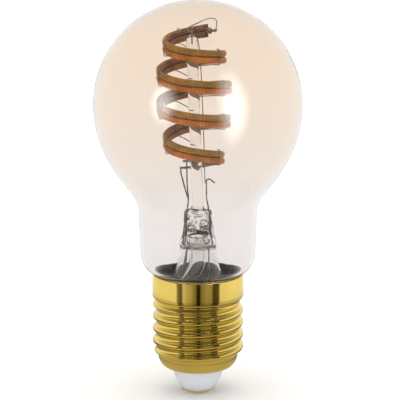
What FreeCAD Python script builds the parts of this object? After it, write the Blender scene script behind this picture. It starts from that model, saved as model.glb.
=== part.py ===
"""Smart spiral-filament light bulb on an E27 screw cap, in millimetres.

The origin is the centre of the end contact's lowest face, and +Z runs up the bulb to the
top of its globe. Every driving size is a cell of the sheet "Sizes". The glass mount (the
post, its wires and the filament) stands in the bulb with a slight lean, which its pieces
take from their placements.
"""
import FreeCAD
import Part
import Sketcher

import math
import os

from FreeCAD import Placement, Rotation, Vector

DRIVING_SIZES = (
    ("globe_diameter", 60.0, "outside of the globe"),
    ("shoulder_growth", 4.0, "extra radius of the arc below the globe's equator"),
    ("cone_angle", 36.0, "slope of the cone from the axis, degrees"),
    ("neck_height", 21.0, "cap rim to where cone and neck would meet"),
    ("neck_radius", 16.65, "outside of the neck at its foot"),
    ("neck_draft", 2.0, "slope of the neck from the axis, degrees"),
    ("neck_fillet", 11.0, "hollow curve between cone and neck"),
    ("foot_curve", 6.6, "round foot of the neck above the cap"),
    ("glass_wall", 0.9, "wall of the envelope"),
    ("skirt_length", 5.2, "glass below the cap's rim"),
    ("cement_gap", 0.65, "ring of cement between glass and cap"),
    ("cement_slack", 0.05, "cement to the collar"),
    ("cap_crest_radius", 13.2, "outside of the screw thread"),
    ("cap_thread_depth", 1.15, "crest to root"),
    ("cap_thread_pitch", 3.629, "E27 thread, seven turns to the inch"),
    ("cap_wall", 0.3, "brass sheet"),
    ("cap_height", 28.2, "lip to rim of the shell"),
    ("collar_step", 0.05, "plain collar beyond the thread's crest"),
    ("collar_height", 6.6, "plain collar above the thread"),
    ("crest_height", 6.45, "lowest crest above the shell's lip, on the +X side"),
    ("cap_floor_height", 4.0, "rounded bottom of the shell"),
    ("floor_taper", 0.65, "shell below the thread, inside the thread's root"),
    ("cap_lip_radius", 7.8, "lowest ring of the shell"),
    ("cap_hole_radius", 7.6, "hole that the insulator fills"),
    ("insulator_height", 6.3, "white cone below the shell"),
    ("insulator_gap", 0.15, "insulator to the edge of the shell's hole"),
    ("insulator_flange", 1.6, "flange beyond the hole, inside the shell"),
    ("contact_thickness", 0.8, "end contact"),
    ("contact_radius", 4.7, "end contact"),
    ("contact_edge", 0.45, "rounded rim of the contact"),
    ("rivet_radius", 1.0, "pin of the end contact"),
    ("rivet_length", 5.0, "lowest face to the pin's top"),
    ("flare_radius", 5.3, "outside of the stem tube"),
    ("flare_wall", 0.95, "stem tube"),
    ("flare_lip", 0.9, "flat lip that the envelope's skirt is sealed to"),
    ("stem_height", 19.9, "cap rim to the top of the pinch"),
    ("pinch_height", 10.9, "pressed glass of the stem"),
    ("pinch_width", 8.6, "pressed glass, wide way"),
    ("pinch_thickness", 4.8, "pressed glass, thin way"),
    ("exhaust_radius", 2.4, "outside of the exhaust tube"),
    ("exhaust_wall", 0.8, "exhaust tube"),
    ("blow_hole_radius", 1.3, "opening from the exhaust tube into the bulb"),
    ("post_radius", 1.65, "glass rod"),
    ("post_socket", 1.8, "rod sunk in the pinch"),
    ("mount_lean", 2.0, "lean of the mount from the axis, degrees"),
    ("filament_rise", 20.5, "top of the coil above the globe's centre"),
    ("filament_drop", 39.4, "height from the first to the last end of the coil"),
    ("filament_turns", 4.15, "turns of the coil"),
    ("filament_start", 45.0, "direction of the upper end, degrees from +X"),
    ("coil_end_radius", 6.6, "coil at both ends"),
    ("coil_belly", 3.6, "extra radius half way down"),
    ("coil_spread", 0.2, "how much wider the lower turns are spaced"),
    ("strip_height", 3.8, "flexible strip under the beads"),
    ("strip_thickness", 0.15, "flexible strip under the beads"),
    ("bead_outer", 0.75, "bead on the outside face"),
    ("bead_inner", 0.65, "bead on the inside face"),
    ("bead_seam", 0.16, "gap between the two strings"),
    ("bead_setback", 1.1, "bare strip at each end"),
    ("chip_length", 0.8, "LED chip along the strip"),
    ("chip_width", 0.5, "LED chip across the strip"),
    ("chip_thickness", 0.2, "LED chip"),
    ("chip_spacing", 3.9, "LED chips along the strip"),
    ("support_wire", 0.28, "diameter of the filament supports"),
    ("lead_wire", 0.42, "diameter of the lead wires"),
    ("seal_wire", 0.56, "diameter of the sealing wires"),
    ("lead_gap", 0.37, "exhaust tube to the sealing wires"),
    ("lead_split", 1.7, "between the warm and the cool lead"),
    ("hook_gap", 0.12, "support wire to the beads that it holds"),
    ("sleeve_wall", 0.3, "insulating sleeve"),
    ("sleeve_gap", 0.75, "sleeve to the thread's inner face"),
    ("disc_thickness", 0.8, "cover disc"),
    ("disc_gap", 0.3, "cover disc to the stem's lip"),
    ("board_thickness", 1.0, "driver board"),
    ("board_gap", 0.12, "driver board to the sleeve"),
    ("board_foot", 4.7, "driver board above the shell's lip"),
    ("board_clear", 0.6, "driver board to the cover disc"),
    ("capacitor_radius", 4.0, "smoothing capacitor"),
    ("capacitor_length", 9.5, "smoothing capacitor"),
    ("inductor_radius", 3.0, "drum core"),
    ("inductor_length", 5.8, "drum core"),
)

OUT_DIR = "parts"
BEAD_FACETS = 6
STATIONS_PER_TURN = 24
SHELL_COLUMNS = 60
SHELL_STEP = 0.25
SUPPORT_DIRECTIONS = (120.0, 205.0, 323.0)

doc = FreeCAD.newDocument("filament_bulb")
sheet = doc.addObject("Spreadsheet::Sheet", "Sizes")
nodes = []


# ---------------------------------------------------------------- sizes and expressions

class Size:
    """A number together with the sheet expression that gives it."""

    def __init__(self, value, text):
        self.value = value
        self.text = text

    def __add__(self, other):
        other = as_size(other)
        return Size(self.value + other.value, f"({self.text} + {other.text})")

    def __sub__(self, other):
        other = as_size(other)
        return Size(self.value - other.value, f"({self.text} - {other.text})")

    def __mul__(self, other):
        other = as_size(other)
        return Size(self.value * other.value, f"({self.text} * {other.text})")

    def __truediv__(self, other):
        other = as_size(other)
        return Size(self.value / other.value, f"({self.text} / {other.text})")

    def __radd__(self, other):
        return as_size(other) + self

    def __rsub__(self, other):
        return as_size(other) - self

    def __rmul__(self, other):
        return as_size(other) * self

    def __neg__(self):
        return as_size(0) - self


def as_size(item):
    """Leaves a Size alone and turns a bare number into one."""
    if isinstance(item, Size):
        return item
    return Size(float(item), repr(float(item)))


def root(size):
    return Size(math.sqrt(size.value), f"sqrt({size.text})")


def sine(size):
    return Size(math.sin(math.radians(size.value)), f"sin({size.text})")


def cosine(size):
    return Size(math.cos(math.radians(size.value)), f"cos({size.text})")


def tangent(size):
    return Size(math.tan(math.radians(size.value)), f"tan({size.text})")


def fill_sheet():
    """Writes the driving sizes into the sheet and hands each back under its name."""
    sizes = {}
    for row, (alias, value, meaning) in enumerate(DRIVING_SIZES, start=1):
        sheet.set(f"A{row}", alias)
        sheet.set(f"B{row}", str(value))
        sheet.set(f"C{row}", meaning)
        sheet.setAlias(f"B{row}", alias)
        sizes[alias] = Size(value, f"Sizes.{alias}")
    doc.recompute()
    return sizes


class Named:
    """The driving sizes as attributes, and the heights worked out from them."""

    def __init__(self, sizes):
        for alias, size in sizes.items():
            setattr(self, alias, size)
        self.globe_radius = self.globe_diameter / 2
        self.lip_z = self.contact_thickness + self.insulator_height
        self.rim_z = self.lip_z + self.cap_height
        self.collar_radius = self.cap_crest_radius + self.collar_step
        self.collar_inside = self.collar_radius - self.cap_wall
        self.skirt_radius = self.collar_inside - self.cement_gap
        self.seat_z = self.rim_z - 0.1
        self.skirt_z = self.rim_z - self.skirt_length
        self.pinch_top_z = self.rim_z + self.stem_height
        self.pinch_foot_z = self.pinch_top_z - self.pinch_height
        self.shoulder_radius = self.globe_radius + self.shoulder_growth
        self.thread_root = self.cap_crest_radius - self.cap_thread_depth
        self.cap_floor_radius = self.thread_root - self.floor_taper
        self.sleeve_radius = self.thread_root - self.cap_wall - self.sleeve_gap
        self.sleeve_inside = self.sleeve_radius - self.sleeve_wall
        self.board_z = self.lip_z + self.board_foot
        self.lip_foot_z = self.skirt_z - self.flare_lip
        self.disc_z = self.lip_foot_z - self.disc_gap - self.disc_thickness
        self.board_top_z = self.disc_z - self.board_clear
        self.board_face = self.board_thickness / 2
        self.lead_r = self.lead_wire / 2
        self.lead_reach = self.exhaust_radius + self.seal_wire / 2 + self.lead_gap


S = Named(fill_sheet())


# ---------------------------------------------------------------- building helpers

def origin_plane(body, role):
    """One of a body's own origin planes, such as XZ_Plane."""
    for feature in body.Origin.OriginFeatures:
        if feature.Role == role:
            return feature
    raise ValueError(role)


def new_body(name):
    body = doc.addObject("PartDesign::Body", name)
    body.Label = name
    return body


def arc_between(start, end, radius, side):
    """The short arc from start to end whose centre lies on the given side of the way."""
    chord = end - start
    half = chord.Length / 2
    across = Vector(-chord.y, chord.x, 0).normalize()
    reach = math.sqrt(max(radius * radius - half * half, 0.0))
    hand = 1 if side == "left" else -1
    centre = (start + end) / 2 + across * (hand * reach)
    first, last = (start, end) if side == "left" else (end, start)
    begin = math.atan2(first.y - centre.y, first.x - centre.x)
    finish = math.atan2(last.y - centre.y, last.x - centre.x)
    if finish < begin:
        finish += 2 * math.pi
    circle = Part.Circle(centre, Vector(0, 0, 1), radius)
    return Part.ArcOfCircle(circle, begin, finish)


def sketch_outline(body, name, role, corners):
    """A closed, fully fixed sketch. A corner is (x, y), or (x, y, radius, side) where an
    arc leaves it; every place and radius follows its sheet expression."""
    sketch = body.newObject("Sketcher::SketchObject", name)
    sketch.AttachmentSupport = (origin_plane(body, role), [""])
    sketch.MapMode = "FlatFace"
    rules = []
    bound = []
    points = [Vector(as_size(c[0]).value, as_size(c[1]).value, 0) for c in corners]
    first_ends = []
    last_ends = []
    for index, corner in enumerate(corners):
        start = points[index]
        end = points[(index + 1) % len(points)]
        if len(corner) == 2:
            sketch.addGeometry(Part.LineSegment(start, end), False)
            first_ends.append(1)
            last_ends.append(2)
        else:
            radius, side = corner[2:]
            sketch.addGeometry(arc_between(start, end, radius.value, side), False)
            first_ends.append(1 if side == "left" else 2)
            last_ends.append(2 if side == "left" else 1)
            bound.append((len(rules), radius))
            rules.append(Sketcher.Constraint("Radius", index, radius.value))
    for index, corner in enumerate(corners):
        following = (index + 1) % len(corners)
        rules.append(Sketcher.Constraint(
            "Coincident", index, last_ends[index], following, first_ends[following]))
        for kind, place in (("DistanceX", corner[0]), ("DistanceY", corner[1])):
            place = as_size(place)
            bound.append((len(rules), place))
            rules.append(Sketcher.Constraint(
                kind, index, first_ends[index], place.value))
    sketch.addConstraint(rules)
    for index, size in bound:
        if "Sizes" in size.text:
            sketch.setExpression(f"Constraints[{index}]", size.text)
    return sketch


def spin(body, name, corners, kind="PartDesign::Revolution"):
    """Turns an outline of (radius, height) corners about the body's own Z axis."""
    sketch = sketch_outline(body, name + "_outline", "XZ_Plane", corners)
    feature = body.newObject(kind, name)
    feature.Profile = sketch
    feature.ReferenceAxis = (sketch, ["V_Axis"])
    feature.Angle = 360
    sketch.Visibility = False
    return feature


def turned(name, corners):
    """A turned piece as a body of its own."""
    body = new_body(name)
    spin(body, name + "_turned", corners)
    return body


def place(item, x=0, y=0, z=0):
    """Puts an object at a place that follows the sheet."""
    spots = [as_size(spot) for spot in (x, y, z)]
    item.Placement = Placement(Vector(*(spot.value for spot in spots)), item.Placement.Rotation)
    for axis, spot in zip("xyz", spots):
        if "Sizes" in spot.text:
            item.setExpression(f"Placement.Base.{axis}", spot.text)
    return item


def bind(item, **sizes):
    """Sets properties of an object and ties them to the sheet."""
    for prop, size in sizes.items():
        size = as_size(size)
        setattr(item, prop, size.value)
        if "Sizes" in size.text:
            item.setExpression(prop, size.text)
    return item


def block(name, low, size):
    """A box from its lowest corner and its three sizes."""
    item = doc.addObject("Part::Box", name)
    bind(item, Length=size[0], Width=size[1], Height=size[2])
    return place(item, *low)


def rod(name, foot, radius, height, axis=(0, 0, 1)):
    """A cylinder from the centre of its foot."""
    item = doc.addObject("Part::Cylinder", name)
    bind(item, Radius=radius, Height=height)
    item.Placement = Placement(Vector(), Rotation(Vector(0, 0, 1), Vector(*axis)))
    return place(item, *foot)


def cut(name, base, *tools):
    """Base less its tools, which stay in the model as they are."""
    tool = tools[0]
    if len(tools) > 1:
        tool = doc.addObject("Part::MultiFuse", name + "_tools")
        tool.Shapes = list(tools)
    item = doc.addObject("Part::Cut", name)
    item.Base = base
    item.Tool = tool
    return item


def fuse(name, *items):
    item = doc.addObject("Part::MultiFuse", name)
    item.Shapes = list(items)
    return item


def solid_feature(name, shape):
    item = doc.addObject("Part::Feature", name)
    item.Shape = shape
    return item


def keep(item, name):
    """Names a finished sub-part, which is then written to its own file."""
    item.Label = name
    nodes.append((name, item))
    return item


def lean(item):
    """Leans an upright piece of the mount about the top of the pinch, towards -X."""
    turn = Rotation(Vector(0, 1, 0), -S.mount_lean.value)
    item.Placement = Placement(Vector(), turn)
    item.setExpression("Placement.Base.x", (S.pinch_top_z * sine(S.mount_lean)).text)
    item.setExpression("Placement.Base.z", (S.pinch_top_z * (1 - cosine(S.mount_lean))).text)
    item.setExpression("Placement.Rotation.Angle", (-S.mount_lean).text)
    return item


def leaned(point):
    """Where a point of the upright mount comes to lie in the bulb."""
    pivot = Vector(0, 0, S.pinch_top_z.value)
    turn = Rotation(Vector(0, 1, 0), -S.mount_lean.value)
    return turn.multVec(Vector(point) - pivot) + pivot


def rounded_path(points, bend):
    """Straight runs joined by tangent arcs, none larger than its two runs allow."""
    points = [Vector(point) for point in points]
    edges = []
    here = points[0]
    for before, corner, after in zip(points, points[1:], points[2:]):
        back = (before - corner)
        ahead = (after - corner)
        turn = math.pi - back.getAngle(ahead)
        shorter = min(back.Length, ahead.Length)
        radius = min(bend, 0.45 * shorter / math.tan(turn / 2))
        setback = radius * math.tan(turn / 2)
        begin = corner + back.normalize() * setback
        end = corner + ahead.normalize() * setback
        inward = (back + ahead).normalize()
        middle = corner + inward * (radius / math.cos(turn / 2) - radius)
        edges.append(Part.LineSegment(here, begin).toShape())
        edges.append(Part.Arc(begin, middle, end).toShape())
        here = end
    edges.append(Part.LineSegment(here, points[-1]).toShape())
    return Part.Wire(edges)


def bent_wire(name, points, diameter, bend=1.2):
    """Round wire swept along a bent path."""
    path = solid_feature(name + "_path", rounded_path(points, bend))
    section = doc.addObject("Part::Circle", name + "_section")
    bind(section, Radius=diameter / 2)
    start = Vector(points[0])
    ahead = Vector(points[1]) - start
    section.Placement = Placement(start, Rotation(Vector(0, 0, 1), ahead))
    item = doc.addObject("Part::Sweep", name)
    item.Sections = [section]
    item.Spine = (path, [f"Edge{count + 1}" for count in range(len(path.Shape.Edges))])
    item.Solid = True
    item.Frenet = False
    return item


# ---------------------------------------------------------------- glass envelope

def cone_meeting(inset):
    """Where the cone would meet the neck, and the height of the globe's centre."""
    slope = S.cone_angle
    draft = S.neck_draft
    foot_r, foot_z = foot_centre()
    neck_r = foot_r + S.foot_curve * cosine(draft)
    neck_z = foot_z - S.foot_curve * sine(draft)
    meet_z = S.rim_z + S.neck_height
    meet_r = neck_r + (meet_z - neck_z) * tangent(draft)
    cone_r = S.shoulder_radius * cosine(slope) - S.shoulder_growth
    cone_z = meet_z + (cone_r - meet_r) / tangent(slope)
    shift = inset / (1 + cosine(slope - draft))
    meet_r = meet_r - shift * (cosine(slope) + cosine(draft))
    meet_z = meet_z + shift * (sine(slope) + sine(draft))
    return meet_r, meet_z, cone_z + S.shoulder_radius * sine(slope)


def foot_centre():
    """Centre of the round foot where the neck turns in to the cap."""
    foot_r = S.neck_radius - S.foot_curve * cosine(S.neck_draft)
    foot_cos = (S.skirt_radius - foot_r) / S.foot_curve
    return foot_r, S.seat_z + S.foot_curve * root(1 - foot_cos * foot_cos)


def envelope_outline(inset):
    """The envelope's outline from the skirt up to the crown, moved in by inset."""
    slope = S.cone_angle
    draft = S.neck_draft
    inset = as_size(inset)
    foot = S.foot_curve - inset
    hollow = S.neck_fillet + inset
    foot_r, foot_z = foot_centre()
    meet_r, meet_z, centre_z = cone_meeting(inset)
    setback = hollow * tangent((slope - draft) / 2)
    shoulder = S.shoulder_radius - inset
    skirt_r = S.skirt_radius - inset
    reach = skirt_r - foot_r
    return [
        (skirt_r, S.skirt_z),
        (skirt_r, foot_z - root(foot * foot - reach * reach), foot, "left"),
        (foot_r + foot * cosine(draft), foot_z - foot * sine(draft)),
        (meet_r - setback * sine(draft), meet_z - setback * cosine(draft), hollow, "right"),
        (meet_r + setback * sine(slope), meet_z + setback * cosine(slope)),
        (shoulder * cosine(slope) - S.shoulder_growth, centre_z - shoulder * sine(slope),
         shoulder, "left"),
        (S.globe_radius - inset, centre_z, S.globe_radius - inset, "left"),
        (0, centre_z + S.globe_radius - inset),
    ]


def way_back(corners):
    """The same outline walked the other way, its arcs kept."""
    back = []
    for index in range(len(corners) - 1, -1, -1):
        corner = corners[index][:2]
        before = corners[index - 1] if index else corners[index][:2]
        if len(before) == 4:
            corner += (before[2], "right" if before[3] == "left" else "left")
        back.append(corner)
    return back


def make_envelope():
    """Blown glass: globe, cone, neck and the skirt that the cap is cemented to."""
    wall = envelope_outline(0) + way_back(envelope_outline(S.glass_wall))
    keep(turned("glass_envelope", wall), "glass_envelope")


# ---------------------------------------------------------------- cap

def make_cement():
    """Base cement between the glass skirt and the cap's collar."""
    keep(turned("cement_ring", [
        (S.skirt_radius, S.skirt_z),
        (S.collar_inside - S.cement_slack, S.skirt_z),
        (S.collar_inside - S.cement_slack, S.seat_z),
        (S.skirt_radius, S.seat_z),
    ]), "cement_ring")


def smooth_step(low, high, height):
    """0 below low, 1 above high, and a soft rise between them."""
    share = min(max((height - low) / (high - low), 0.0), 1.0)
    return share * share * (3 - 2 * share)


def thread_wave(height, turn):
    """Height of the rolled thread over its root: equal arcs, tangent to each other."""
    pitch = S.cap_thread_pitch.value
    depth = S.cap_thread_depth.value
    radius = (pitch * pitch / 4 + depth * depth) / (4 * depth)
    crest = S.lip_z.value + S.crest_height.value + pitch * turn
    along = (height - crest) / pitch
    away = abs(along - round(along)) * pitch
    if away < pitch / 4:
        return depth - radius + math.sqrt(radius * radius - away * away)
    away = pitch / 2 - away
    return radius - math.sqrt(radius * radius - away * away)


def shell_profile():
    """Heights down the shell above its rounded bottom."""
    foot = S.lip_z.value + S.cap_floor_height.value
    thread_top = S.rim_z.value - S.collar_height.value
    collar_steps = 12
    rim = S.rim_z.value
    heights = [rim + (thread_top - rim) * step / collar_steps for step in range(collar_steps)]
    count = math.ceil((thread_top - foot) / SHELL_STEP)
    heights += [thread_top + (foot - thread_top) * step / count for step in range(count + 1)]
    return heights


def shell_radius(height, turn):
    """Outside of the shell above its rounded bottom."""
    foot = S.lip_z.value + S.cap_floor_height.value
    thread_top = S.rim_z.value - S.collar_height.value
    pitch = S.cap_thread_pitch.value
    belly = S.thread_root.value
    radius = S.cap_floor_radius.value
    radius += (belly - radius) * smooth_step(foot - 0.2 * pitch, foot + 0.5 * pitch, height)
    collar = smooth_step(thread_top - 0.4 * pitch, thread_top, height)
    run_out = smooth_step(thread_top - 0.75 * pitch, thread_top - 0.15 * pitch, height)
    run_in = smooth_step(foot - 0.1 * pitch, foot + 0.55 * pitch, height)
    radius += (S.collar_radius.value - belly) * collar
    return radius + thread_wave(height, turn) * run_in * (1 - run_out)


def shell_grid(inset):
    """Points of one face of the shell, row by row from the rim to the hole."""
    heights = shell_profile()
    lip = S.lip_z.value
    rows = []
    for step, height in enumerate(heights):
        row = []
        for column in range(SHELL_COLUMNS + 1):
            turn = column / SHELL_COLUMNS + 0.25
            radius = shell_radius(height, turn) - inset
            angle = 2 * math.pi * turn
            row.append(Vector(radius * math.cos(angle), radius * math.sin(angle), height))
        rows.append(row)
    floor_steps = 9
    wide = S.cap_floor_radius.value - S.cap_lip_radius.value
    tall = S.cap_floor_height.value
    for step in range(1, floor_steps + 1):
        slope = math.pi / 2 * step / floor_steps
        radius = S.cap_lip_radius.value + (wide - inset) * math.cos(slope)
        height = lip + tall - (tall - inset) * math.sin(slope)
        rows.append(ring_of(radius, height))
    rows.append(ring_of(S.cap_hole_radius.value, lip + inset))
    return rows


def ring_of(radius, height):
    """One level row of points, from the back of the cap round to the back again."""
    row = []
    for column in range(SHELL_COLUMNS + 1):
        angle = 2 * math.pi * (column / SHELL_COLUMNS + 0.25)
        row.append(Vector(radius * math.cos(angle), radius * math.sin(angle), height))
    return row


def closed_solid(faces):
    """Sews faces that share their edges into one solid, turned right side out."""
    shell = Part.makeShell(faces)
    shell.sewShape()
    solid = Part.makeSolid(shell)
    if solid.Volume < 0:
        solid.reverse()
    return solid


def surface_through(grid):
    """One smooth face through a grid of points."""
    surface = Part.BSplineSurface()
    surface.interpolate(grid)
    return surface.toShape()


def end_rings(face):
    """The two closed edges of a face that goes all the way round, lower one first."""
    rings = [edge for edge in face.Edges if edge.isClosed()]
    return sorted(rings, key=lambda edge: edge.CenterOfMass.z)


def make_cap_shell():
    """Rolled brass shell: collar, screw thread, rounded bottom and hole for the insulator.
    Its two faces are surfaces through the thread's own formula."""
    outside = surface_through(shell_grid(0.0))
    inside = surface_through(shell_grid(S.cap_wall.value))
    rims = [Part.makeRuledSurface(*pair) for pair in zip(end_rings(outside), end_rings(inside))]
    keep(solid_feature("cap_shell", closed_solid([outside, inside] + rims)), "cap_shell")


def make_insulator():
    """White cone that carries the end contact; its flange sits inside the shell's hole."""
    neck_r = S.cap_hole_radius - S.insulator_gap
    flange_z = S.lip_z + S.cap_wall + 0.45
    flange_top = flange_z + 1.3
    bore_r = neck_r - 1.45
    floor_z = S.contact_thickness + 1.6
    keep(turned("cap_insulator", [
        (S.rivet_radius, S.contact_thickness),
        (S.contact_radius, S.contact_thickness),
        (neck_r, S.lip_z),
        (neck_r, flange_z),
        (neck_r + S.insulator_flange, flange_z),
        (neck_r + S.insulator_flange, flange_top),
        (bore_r, flange_top),
        (bore_r, S.lip_z),
        (S.contact_radius - 0.9, floor_z),
        (S.rivet_radius, floor_z),
    ]), "cap_insulator")


def make_end_contact():
    """Flat brass contact with a round edge, riveted through the insulator."""
    keep(turned("end_contact", [
        (0, 0),
        (S.contact_radius - S.contact_edge, 0, S.contact_edge, "left"),
        (S.contact_radius, S.contact_edge),
        (S.contact_radius, S.contact_thickness),
        (S.rivet_radius, S.contact_thickness),
        (S.rivet_radius, S.rivet_length),
        (0, S.rivet_length),
    ]), "end_contact")


# ---------------------------------------------------------------- leads

SEAL_END = 1.7          # sealing wires stop this far inside the pinch, at both ends
COMMON_AT = (S.lead_reach, as_size(0))
COOL_AT = (-S.lead_reach, S.lead_split / 2)
WARM_AT = (-S.lead_reach, -S.lead_split / 2)


def seal_low_z():
    return S.pinch_foot_z + SEAL_END + 0.4


def seal_high_z():
    return S.pinch_top_z - SEAL_END


def make_seal(name, spot):
    """Copper-clad wire that the glass is pressed onto."""
    low = seal_low_z()
    return keep(rod(name, (*spot, low), S.seal_wire / 2, seal_high_z() - low), name)


def lead_points(spot, *steps):
    """Route of a lead: from the seal's top at spot, then the given steps."""
    return [Vector(spot[0].value, spot[1].value, seal_high_z().value), *steps]


def above_pinch(x, y, rise):
    return Vector(x, y, S.pinch_top_z.value + rise)


def make_inner_leads(tabs):
    """Thick wires from the pinch up to the weld and to the two lower tabs."""
    reach = S.lead_reach.value
    common = lead_points(
        COMMON_AT, above_pinch(reach, 0, -0.3), above_pinch(reach - 0.6, 0, 2.6),
        above_pinch(reach - 0.6, 0, 8.6), above_pinch(reach + 1.8, -0.7, 6.9))
    made = [keep(bent_wire("lead_common_inner", common, S.lead_wire, 0.8), "lead_common_inner")]
    for name, spot, tab in (("lead_cool_inner", COOL_AT, tabs[0]),
                            ("lead_warm_inner", WARM_AT, tabs[1])):
        side = spot[1].value
        under = tab - Vector(0, 0, 1.9)
        route = lead_points(
            spot, above_pinch(-reach, side, -0.4), above_pinch(-reach + 0.35, side, 2.2),
            above_pinch((under.x - reach) / 2, (side + under.y) / 2, 5.6), under, tab)
        made.append(keep(bent_wire(name, route, S.lead_wire, 1.5), name))
    return made


def board_lead(name, spot, *steps):
    """Lead from below the pinch, through the cover disc and down to its pad."""
    start = Vector(spot[0].value, spot[1].value, seal_low_z().value)
    return keep(bent_wire(name, [start, *steps], S.lead_wire, 2.0), name)


def pad_spots():
    """Where each lead passes the cover disc and runs down the board: x and y."""
    off = S.board_face + S.lead_r
    return {
        "common": (S.lead_reach, -off),
        "cool": (-S.lead_reach - 1.9, off),
        "warm": (-S.lead_reach, off),
    }


def make_board_leads():
    """The three leads below the pinch."""
    spots = pad_spots()
    low = seal_low_z().value
    lip = S.skirt_z.value
    pad = S.board_top_z.value - 3.5
    made = []
    for role, seat, waist in (("common", COMMON_AT, (3.3, -0.3)),
                              ("cool", COOL_AT, (-4.4, 2.6)),
                              ("warm", WARM_AT, (-3.7, 1.2))):
        x = spots[role][0].value
        y = spots[role][1].value
        made.append(board_lead(
            f"lead_{role}_outer", seat,
            Vector(seat[0].value, seat[1].value, low - 3.0),
            Vector(waist[0], waist[1], (low + lip) / 2 - 2.0),
            Vector(x, y, lip + 0.6),
            Vector(x, y, pad)))
    return made


# ---------------------------------------------------------------- glass stem

def flare_outline():
    """Stem tube that opens to the lip under the envelope's skirt."""
    top = S.pinch_foot_z
    bend_z = top - 1.3
    run = S.skirt_radius - S.glass_wall - 0.1 - S.flare_radius
    drop = bend_z - S.skirt_z
    curve = (drop * drop + run * run) / (2 * run)
    inner = curve + S.flare_wall
    under = bend_z - S.lip_foot_z
    inner_foot = S.flare_radius + curve - root(inner * inner - under * under)
    return [
        (S.flare_radius, top),
        (S.flare_radius, bend_z, curve, "left"),
        (S.flare_radius + run, S.skirt_z),
        (S.skirt_radius, S.skirt_z),
        (S.skirt_radius, S.lip_foot_z),
        (inner_foot, S.lip_foot_z, inner, "right"),
        (S.flare_radius - S.flare_wall, bend_z),
        (S.flare_radius - S.flare_wall, top),
    ]


def make_pinch():
    """Pressed glass above the stem tube, from round to flat."""
    wide = S.pinch_width / 2
    thin = S.pinch_thickness / 2
    stages = (
        (0.25, wide + 0.55, thin + 1.5),
        (0.52, wide + 0.1, thin + 0.3),
        (0.84, wide, thin),
        (1.0, wide - 0.7, thin - 0.5),
    )
    foot = doc.addObject("Part::Circle", "pinch_foot")
    bind(foot, Radius=S.flare_radius)
    rings = [place(foot, 0, 0, S.pinch_foot_z)]
    for count, (share, major, minor) in enumerate(stages):
        ring = doc.addObject("Part::Ellipse", f"pinch_ring_{count}")
        bind(ring, MajorRadius=major, MinorRadius=minor)
        rings.append(place(ring, 0, 0, S.pinch_foot_z + share * S.pinch_height))
    loft = doc.addObject("Part::Loft", "pinch_glass")
    loft.Sections = rings
    loft.Solid = True
    return loft


EXHAUST_ROUTE = (
    (0.0, 0.0, 1.7, 1.0), (0.0, 0.0, -1.0, 1.0), (0.0, 0.0, -3.6, 1.0), (-0.3, -0.3, -6.1, 0.98),
    (-1.2, -1.3, -8.4, 0.95), (-2.7, -2.8, -10.4, 0.85), (-4.3, -4.4, -12.1, 0.68),
    (-5.3, -5.4, -13.0, 0.3),
)


def exhaust_loft(name, inset, stations):
    """Loft of rings square to the tube's route; x, y, rise above the pinch, and width."""
    spots = [Vector(x, y, S.pinch_foot_z.value + rise) for x, y, rise, _ in stations]
    rings = []
    for count, (x, y, rise, width) in enumerate(stations):
        behind = spots[max(count - 1, 0)]
        ahead = spots[min(count + 1, len(spots) - 1)]
        ring = doc.addObject("Part::Circle", f"{name}_ring_{count}")
        bind(ring, Radius=S.exhaust_radius * width - inset)
        ring.Placement = Placement(Vector(), Rotation(Vector(0, 0, 1), ahead - behind))
        rings.append(place(ring, x, y, S.pinch_foot_z + rise))
    loft = doc.addObject("Part::Loft", name)
    loft.Sections = rings
    loft.Solid = True
    return loft


def make_exhaust_tube():
    """Tube that the bulb was pumped through, bent to one side and sealed at its tip."""
    outside = exhaust_loft("exhaust_outside", as_size(0), EXHAUST_ROUTE)
    inside = exhaust_loft("exhaust_inside", S.exhaust_wall, EXHAUST_ROUTE[:-1])
    return keep(cut("exhaust_tube", outside, inside), "exhaust_tube")


def make_stem(post, exhaust, wires):
    """Flare tube and pinch as one glass, pressed round the wires, post and exhaust."""
    flare = turned("flare_glass", flare_outline())
    blank = fuse("stem_blank", flare, make_pinch())
    socket_top = S.pinch_foot_z + EXHAUST_ROUTE[0][2]
    bore_r = S.exhaust_radius - S.exhaust_wall
    blow_z = S.pinch_foot_z + 0.55 * S.pinch_height
    bore = rod("exhaust_bore", (0, 0, socket_top), bore_r, blow_z - socket_top)
    blow = rod("blow_hole", (1.1, 0, blow_z), S.blow_hole_radius, S.flare_radius,
               (0, -1, 0))
    keep(cut("stem_flare", blank, bore, blow, post, exhaust, *wires), "stem_flare")


# ---------------------------------------------------------------- post and filament

GLOBE_CENTRE_Z = cone_meeting(as_size(0))[2]
COIL_TOP_Z = GLOBE_CENTRE_Z + S.filament_rise


def coil_frame(turns):
    """Middle of the strip after so many turns, and the ways outward and onward there."""
    share = turns / S.filament_turns.value
    spread = S.coil_spread.value
    drop = S.filament_drop.value * ((1 - spread) * share + spread * share * share)
    radius = S.coil_end_radius.value + S.coil_belly.value * math.sin(math.pi * share)
    angle = math.radians(S.filament_start.value) + 2 * math.pi * turns
    outward = Vector(math.cos(angle), math.sin(angle), 0)
    onward = Vector(-math.sin(angle), math.cos(angle), 0)
    return outward * radius + Vector(0, 0, COIL_TOP_Z.value - drop), outward, onward


def coil_stations(first, last):
    count = math.ceil((last - first) * STATIONS_PER_TURN)
    return [first + (last - first) * step / count for step in range(count + 1)]


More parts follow.
